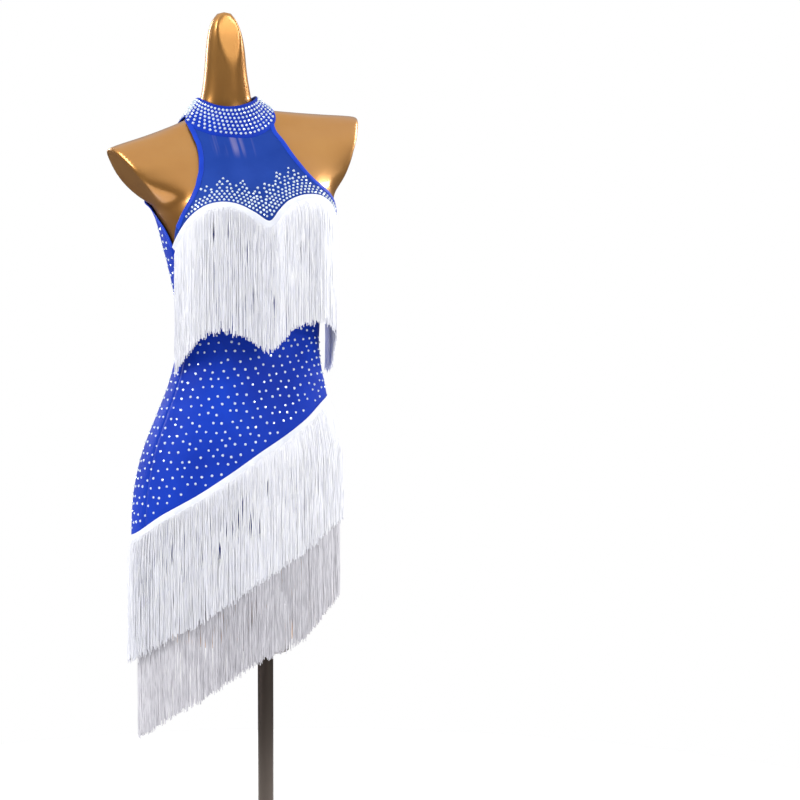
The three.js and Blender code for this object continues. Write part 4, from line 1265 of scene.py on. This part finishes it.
def collar_stones():
    """Columns of stones over the collar, none on its closing strip."""
    rim = collar_points(np.linspace(-180, 180, 721), 0.5, COLLAR_THICKNESS)
    way = np.concatenate([[0], np.cumsum(np.linalg.norm(np.diff(rim, axis=0), axis=1))])
    count = int(way[-1] / 7.0)
    columns = np.interp((np.arange(count) + 0.5) * way[-1] / count, way, np.linspace(-180, 180, 721))
    from_tab = np.abs((columns - TAB_MIDDLE + 180) % 360 - 180)
    columns = columns[(from_tab > TAB_HALF_ANGLE + 3) & (np.abs(columns) < 176)]
    shares = (np.arange(7) + 0.5) / 7 * 0.86 + 0.07
    degrees, share = [v.ravel() for v in np.meshgrid(columns, shares)]

    def at(angle, level):
        return collar_points(angle, level, COLLAR_THICKNESS)

    points = at(degrees, share)
    around = at(degrees + 1, share) - at(degrees - 1, share)
    upward = at(degrees, share + 0.02) - at(degrees, share - 0.02)
    ways = unit(np.cross(around, upward))
    lean = unit(ways + rng.normal(0, 0.05, ways.shape))
    radii = 2.2 * MM * rng.uniform(0.92, 1.08, len(points))
    return set_stones("collar_stones", points * MM, lean, radii, clear_stone)


# Spikes of scattered stones above the neckline's rows: angle and how many levels.
YOKE_SPIKES = [
    (-48, 2), (-42, 3), (-33, 4), (-24, 4), (-15, 3), (-7, 3), (1, 5), (10, 4), (18, 5), (26, 5),
    (34, 3), (42, 2),
]


def yoke_stones():
    """Places of the rows of stones above the neckline, and the spikes that rise from them."""
    length = length_along(sweetheart)
    degrees, heights = rows_beside(sweetheart, (-5.5, -11, -16.5, -22), 6.3, length)
    row = np.repeat(np.arange(4), len(degrees) // 4)
    side = np.abs(degrees)
    reach = np.select([side < 42, side < 50, side < 57], [3, 2, 1], 0)
    keep = (row <= reach) & (side < 70)
    degrees, heights = degrees[keep], heights[keep]
    spikes = []
    for angle, levels in YOKE_SPIKES:
        share = share_at(sweetheart, angle)
        for level in range(levels):
            wide = (levels - level) * 0.5
            for step in np.arange(-wide + 0.5, wide, 1.0):
                at = share + (step * 7 + rng.uniform(-1.2, 1.2)) / length
                a, h = beside(sweetheart, np.array([at]), -(28 + 6.2 * level + rng.uniform(-1, 1)))
                spikes.append((float(a[0]), float(h[0])))
    degrees = np.concatenate([degrees, [s[0] for s in spikes]])
    heights = np.concatenate([heights, [s[1] for s in spikes]])
    edges = [line_points(along) for along in ARM_EDGES[:2]]
    keep = nearest(on_cloth(degrees, heights, CLOTH_OUTER), edges) > 9.5
    degrees, heights = degrees[keep], heights[keep]
    keep = apart(on_cloth(degrees, heights, CLOTH_OUTER), 4.9)
    return degrees[keep], heights[keep]


stones = {
    "back_stones": stones_on_cloth("body_stones", *body_stones(), 2.05),
    "opening_stones": stones_on_cloth("opening_stones", *opening_stones(), 2.35),
    "yoke_stones": stones_on_cloth("yoke_stones", *yoke_stones(), 2.1, CLOTH_OUTER - 0.3),
    "collar_stones": collar_stones(),
}


def strap_stones(name, middle, out):
    way = np.concatenate([[0], np.cumsum(np.linalg.norm(np.diff(middle, axis=0), axis=1))])
    at = np.arange(0.03, way[-1] - 0.008, 0.0175)
    points = np.stack([np.interp(at, way, middle[:, k]) for k in range(3)], -1)
    ways = unit(np.stack([np.interp(at, way, out[:, k]) for k in range(3)], -1))
    points = points + ways * (STRAP_THICKNESS / 2 + 0.0003)
    return set_stones(name + "_stones", points, ways, np.full(len(points), 0.0018), smoky_stone)


strap_trims = {name: strap_stones(name, middle, out) for name, (_, middle, out) in straps.items()}


# ------------------------------------------------------------------------------ the stand
TURNED_COLUMNS = 96


def lathe(name, profile, centre, material, slot):
    """A turned piece from (radius, height) points in millimetres, closed at both ends."""
    angles = np.linspace(0, 2 * np.pi, TURNED_COLUMNS, endpoint=False)
    profile = np.array(profile, float)
    rings = np.stack([
        centre[0] + profile[:, :1] * np.cos(angles)[None],
        centre[1] + profile[:, :1] * np.sin(angles)[None],
        np.repeat(profile[:, 1:], TURNED_COLUMNS, 1),
    ], -1)
    vertices = rings.reshape(-1, 3).tolist()
    faces = grid_faces(len(profile), TURNED_COLUMNS, loops=True)
    last = (len(profile) - 1) * TURNED_COLUMNS
    faces.append(list(range(TURNED_COLUMNS))[::-1])
    faces.append([last + i for i in range(TURNED_COLUMNS)])
    return new_object(name, np.array(vertices) * MM, faces, material, slot)


def crisp(piece):
    """Edges sharper than 35 degrees are shaded as edges."""
    piece.data.set_sharp_from_angle(angle=math.radians(35))
    return piece


def rounded(low, high, radius, edge):
    """The side of a disc with rounded edges, from its underside up to its top."""
    turns = np.linspace(0, math.pi / 2, 5)
    under = [(radius - edge + edge * math.sin(t), low + edge - edge * math.cos(t)) for t in turns]
    upper = [(radius - edge + edge * math.cos(t), high - edge + edge * math.sin(t)) for t in turns]
    return under + upper


def node_centre(name):
    low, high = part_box(name)
    return (500 * (low[0] + high[0]), 500 * (low[1] + high[1])), 1000 * low[2], 1000 * high[2]


def turned_node(name, new_name, edge):
    low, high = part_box(name)
    centre, bottom, top = node_centre(name)
    radius = 500 * (high[0] - low[0])
    return crisp(lathe(new_name, rounded(bottom, top, radius, edge), centre, dark_steel, "dark_steel"))


stand = {
    "foot_plate": turned_node("foot_plate", "foot_disc", 2.0),
    "foot_hub": turned_node("foot_hub", "foot_boss", 3.0),
    "pole": turned_node("pole", "pole_tube", 0.8),
    "pole_socket": turned_node("pole_socket", "socket_cup", 3.0),
}

# ------------------------------------------------------------------------------ stage
floor_mesh = bpy.data.meshes.new("floor")
floor_turns = np.linspace(0, 2 * np.pi, 128, endpoint=False)
floor_rim = [(1.7 * math.cos(t), 1.7 * math.sin(t), 0) for t in floor_turns]
floor_mesh.from_pydata(floor_rim, [], [tuple(range(128))])
floor = bpy.data.objects.new("floor", floor_mesh)
bpy.context.scene.collection.objects.link(floor)
floor_finish = bpy.data.materials.new("pale floor")
floor_finish.use_nodes = True
set_inputs(floor_finish.node_tree.nodes["Principled BSDF"], Base_Color=(0.9, 0.9, 0.9, 1), Roughness=0.8)
floor_mesh.materials.append(floor_finish)


def studio_world():
    """White behind the object, a little softer as light, and dim where gloss looks sideways."""
    world = bpy.data.worlds.new("studio")
    world.use_nodes = True
    nodes, links = world.node_tree.nodes, world.node_tree.links
    behind = nodes["Background"]
    light, gloss = [nodes.new("ShaderNodeBackground") for _ in range(2)]
    behind.inputs["Color"].default_value = (1, 1, 1, 1)
    light.inputs["Color"].default_value = (1, 1, 1, 1)
    light.inputs["Strength"].default_value = 0.78
    where, split = nodes.new("ShaderNodeTexCoord"), nodes.new("ShaderNodeSeparateXYZ")
    ramp, path = nodes.new("ShaderNodeValToRGB"), nodes.new("ShaderNodeLightPath")
    first, second = [nodes.new("ShaderNodeMixShader") for _ in range(2)]
    ramp.color_ramp.elements[0].position = 0.1
    ramp.color_ramp.elements[0].color = (0.07, 0.06, 0.055, 1)
    ramp.color_ramp.elements[1].position = 0.8
    ramp.color_ramp.elements[1].color = (0.85, 0.85, 0.85, 1)
    links.new(where.outputs["Generated"], split.inputs["Vector"])
    links.new(split.outputs["Z"], ramp.inputs["Fac"])
    links.new(ramp.outputs["Color"], gloss.inputs["Color"])
    links.new(path.outputs["Is Camera Ray"], first.inputs["Fac"])
    links.new(light.outputs["Background"], first.inputs[1])
    links.new(behind.outputs["Background"], first.inputs[2])
    links.new(path.outputs["Is Glossy Ray"], second.inputs["Fac"])
    links.new(first.outputs["Shader"], second.inputs[1])
    links.new(gloss.outputs["Background"], second.inputs[2])
    links.new(second.outputs["Shader"], nodes["World Output"].inputs["Surface"])
    bpy.context.scene.world = world


studio_world()
bpy.context.scene.view_settings.view_transform = "Standard"


LIGHT_AIM = Vector((0, 0, 1.0))


def softbox(name, azimuth, distance, height, width, length, power):
    """A rectangular light around the object, turned towards its middle."""
    data = bpy.data.lights.new(name, "AREA")
    data.shape = "RECTANGLE"
    data.size = width
    data.size_y = length
    data.energy = power
    light = bpy.data.objects.new(name, data)
    turn = math.radians(azimuth)
    light.location = (math.sin(turn) * distance, -math.cos(turn) * distance, height)
    light.rotation_euler = (LIGHT_AIM - light.location).to_track_quat("-Z", "Y").to_euler()
    bpy.context.scene.collection.objects.link(light)


softbox("front key", -80, 2.3, 2.2, 0.6, 1.3, 34)
softbox("front fill", 25, 2.6, 1.9, 0.45, 1.5, 24)
softbox("back key", 100, 2.3, 2.2, 0.6, 1.3, 34)
softbox("back fill", 205, 2.6, 1.9, 0.45, 1.5, 24)

# ------------------------------------------------------------------------------ pieces fixed to the body
def settle(piece, *nodes):
    """Fixes a finished piece to the one body, takes its slot name off, and hides the model's parts that
    it stands for.
    """
    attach(piece, "root")
    del piece["slot_name"]
    if nodes:
        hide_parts(*nodes)


settle(form_shell, "form_torso")
settle(front_body, "front_body")
settle(yoke, "yoke")
settle(back_body, "back_body")
settle(collar, "collar")
settle(tab, "collar_tab")
for name, piece in {**bindings, **tapes, **stand}.items():
    settle(piece, name)
settle(fringe_bust, "fringe_bust")
settle(fringe_upper, "fringe_hip_upper")
settle(fringe_lower, "fringe_hip_lower")
for piece in [*stones.values(), *strap_trims.values()]:
    settle(piece)
for name, (piece, middle, out) in straps.items():
    settle(piece, name)
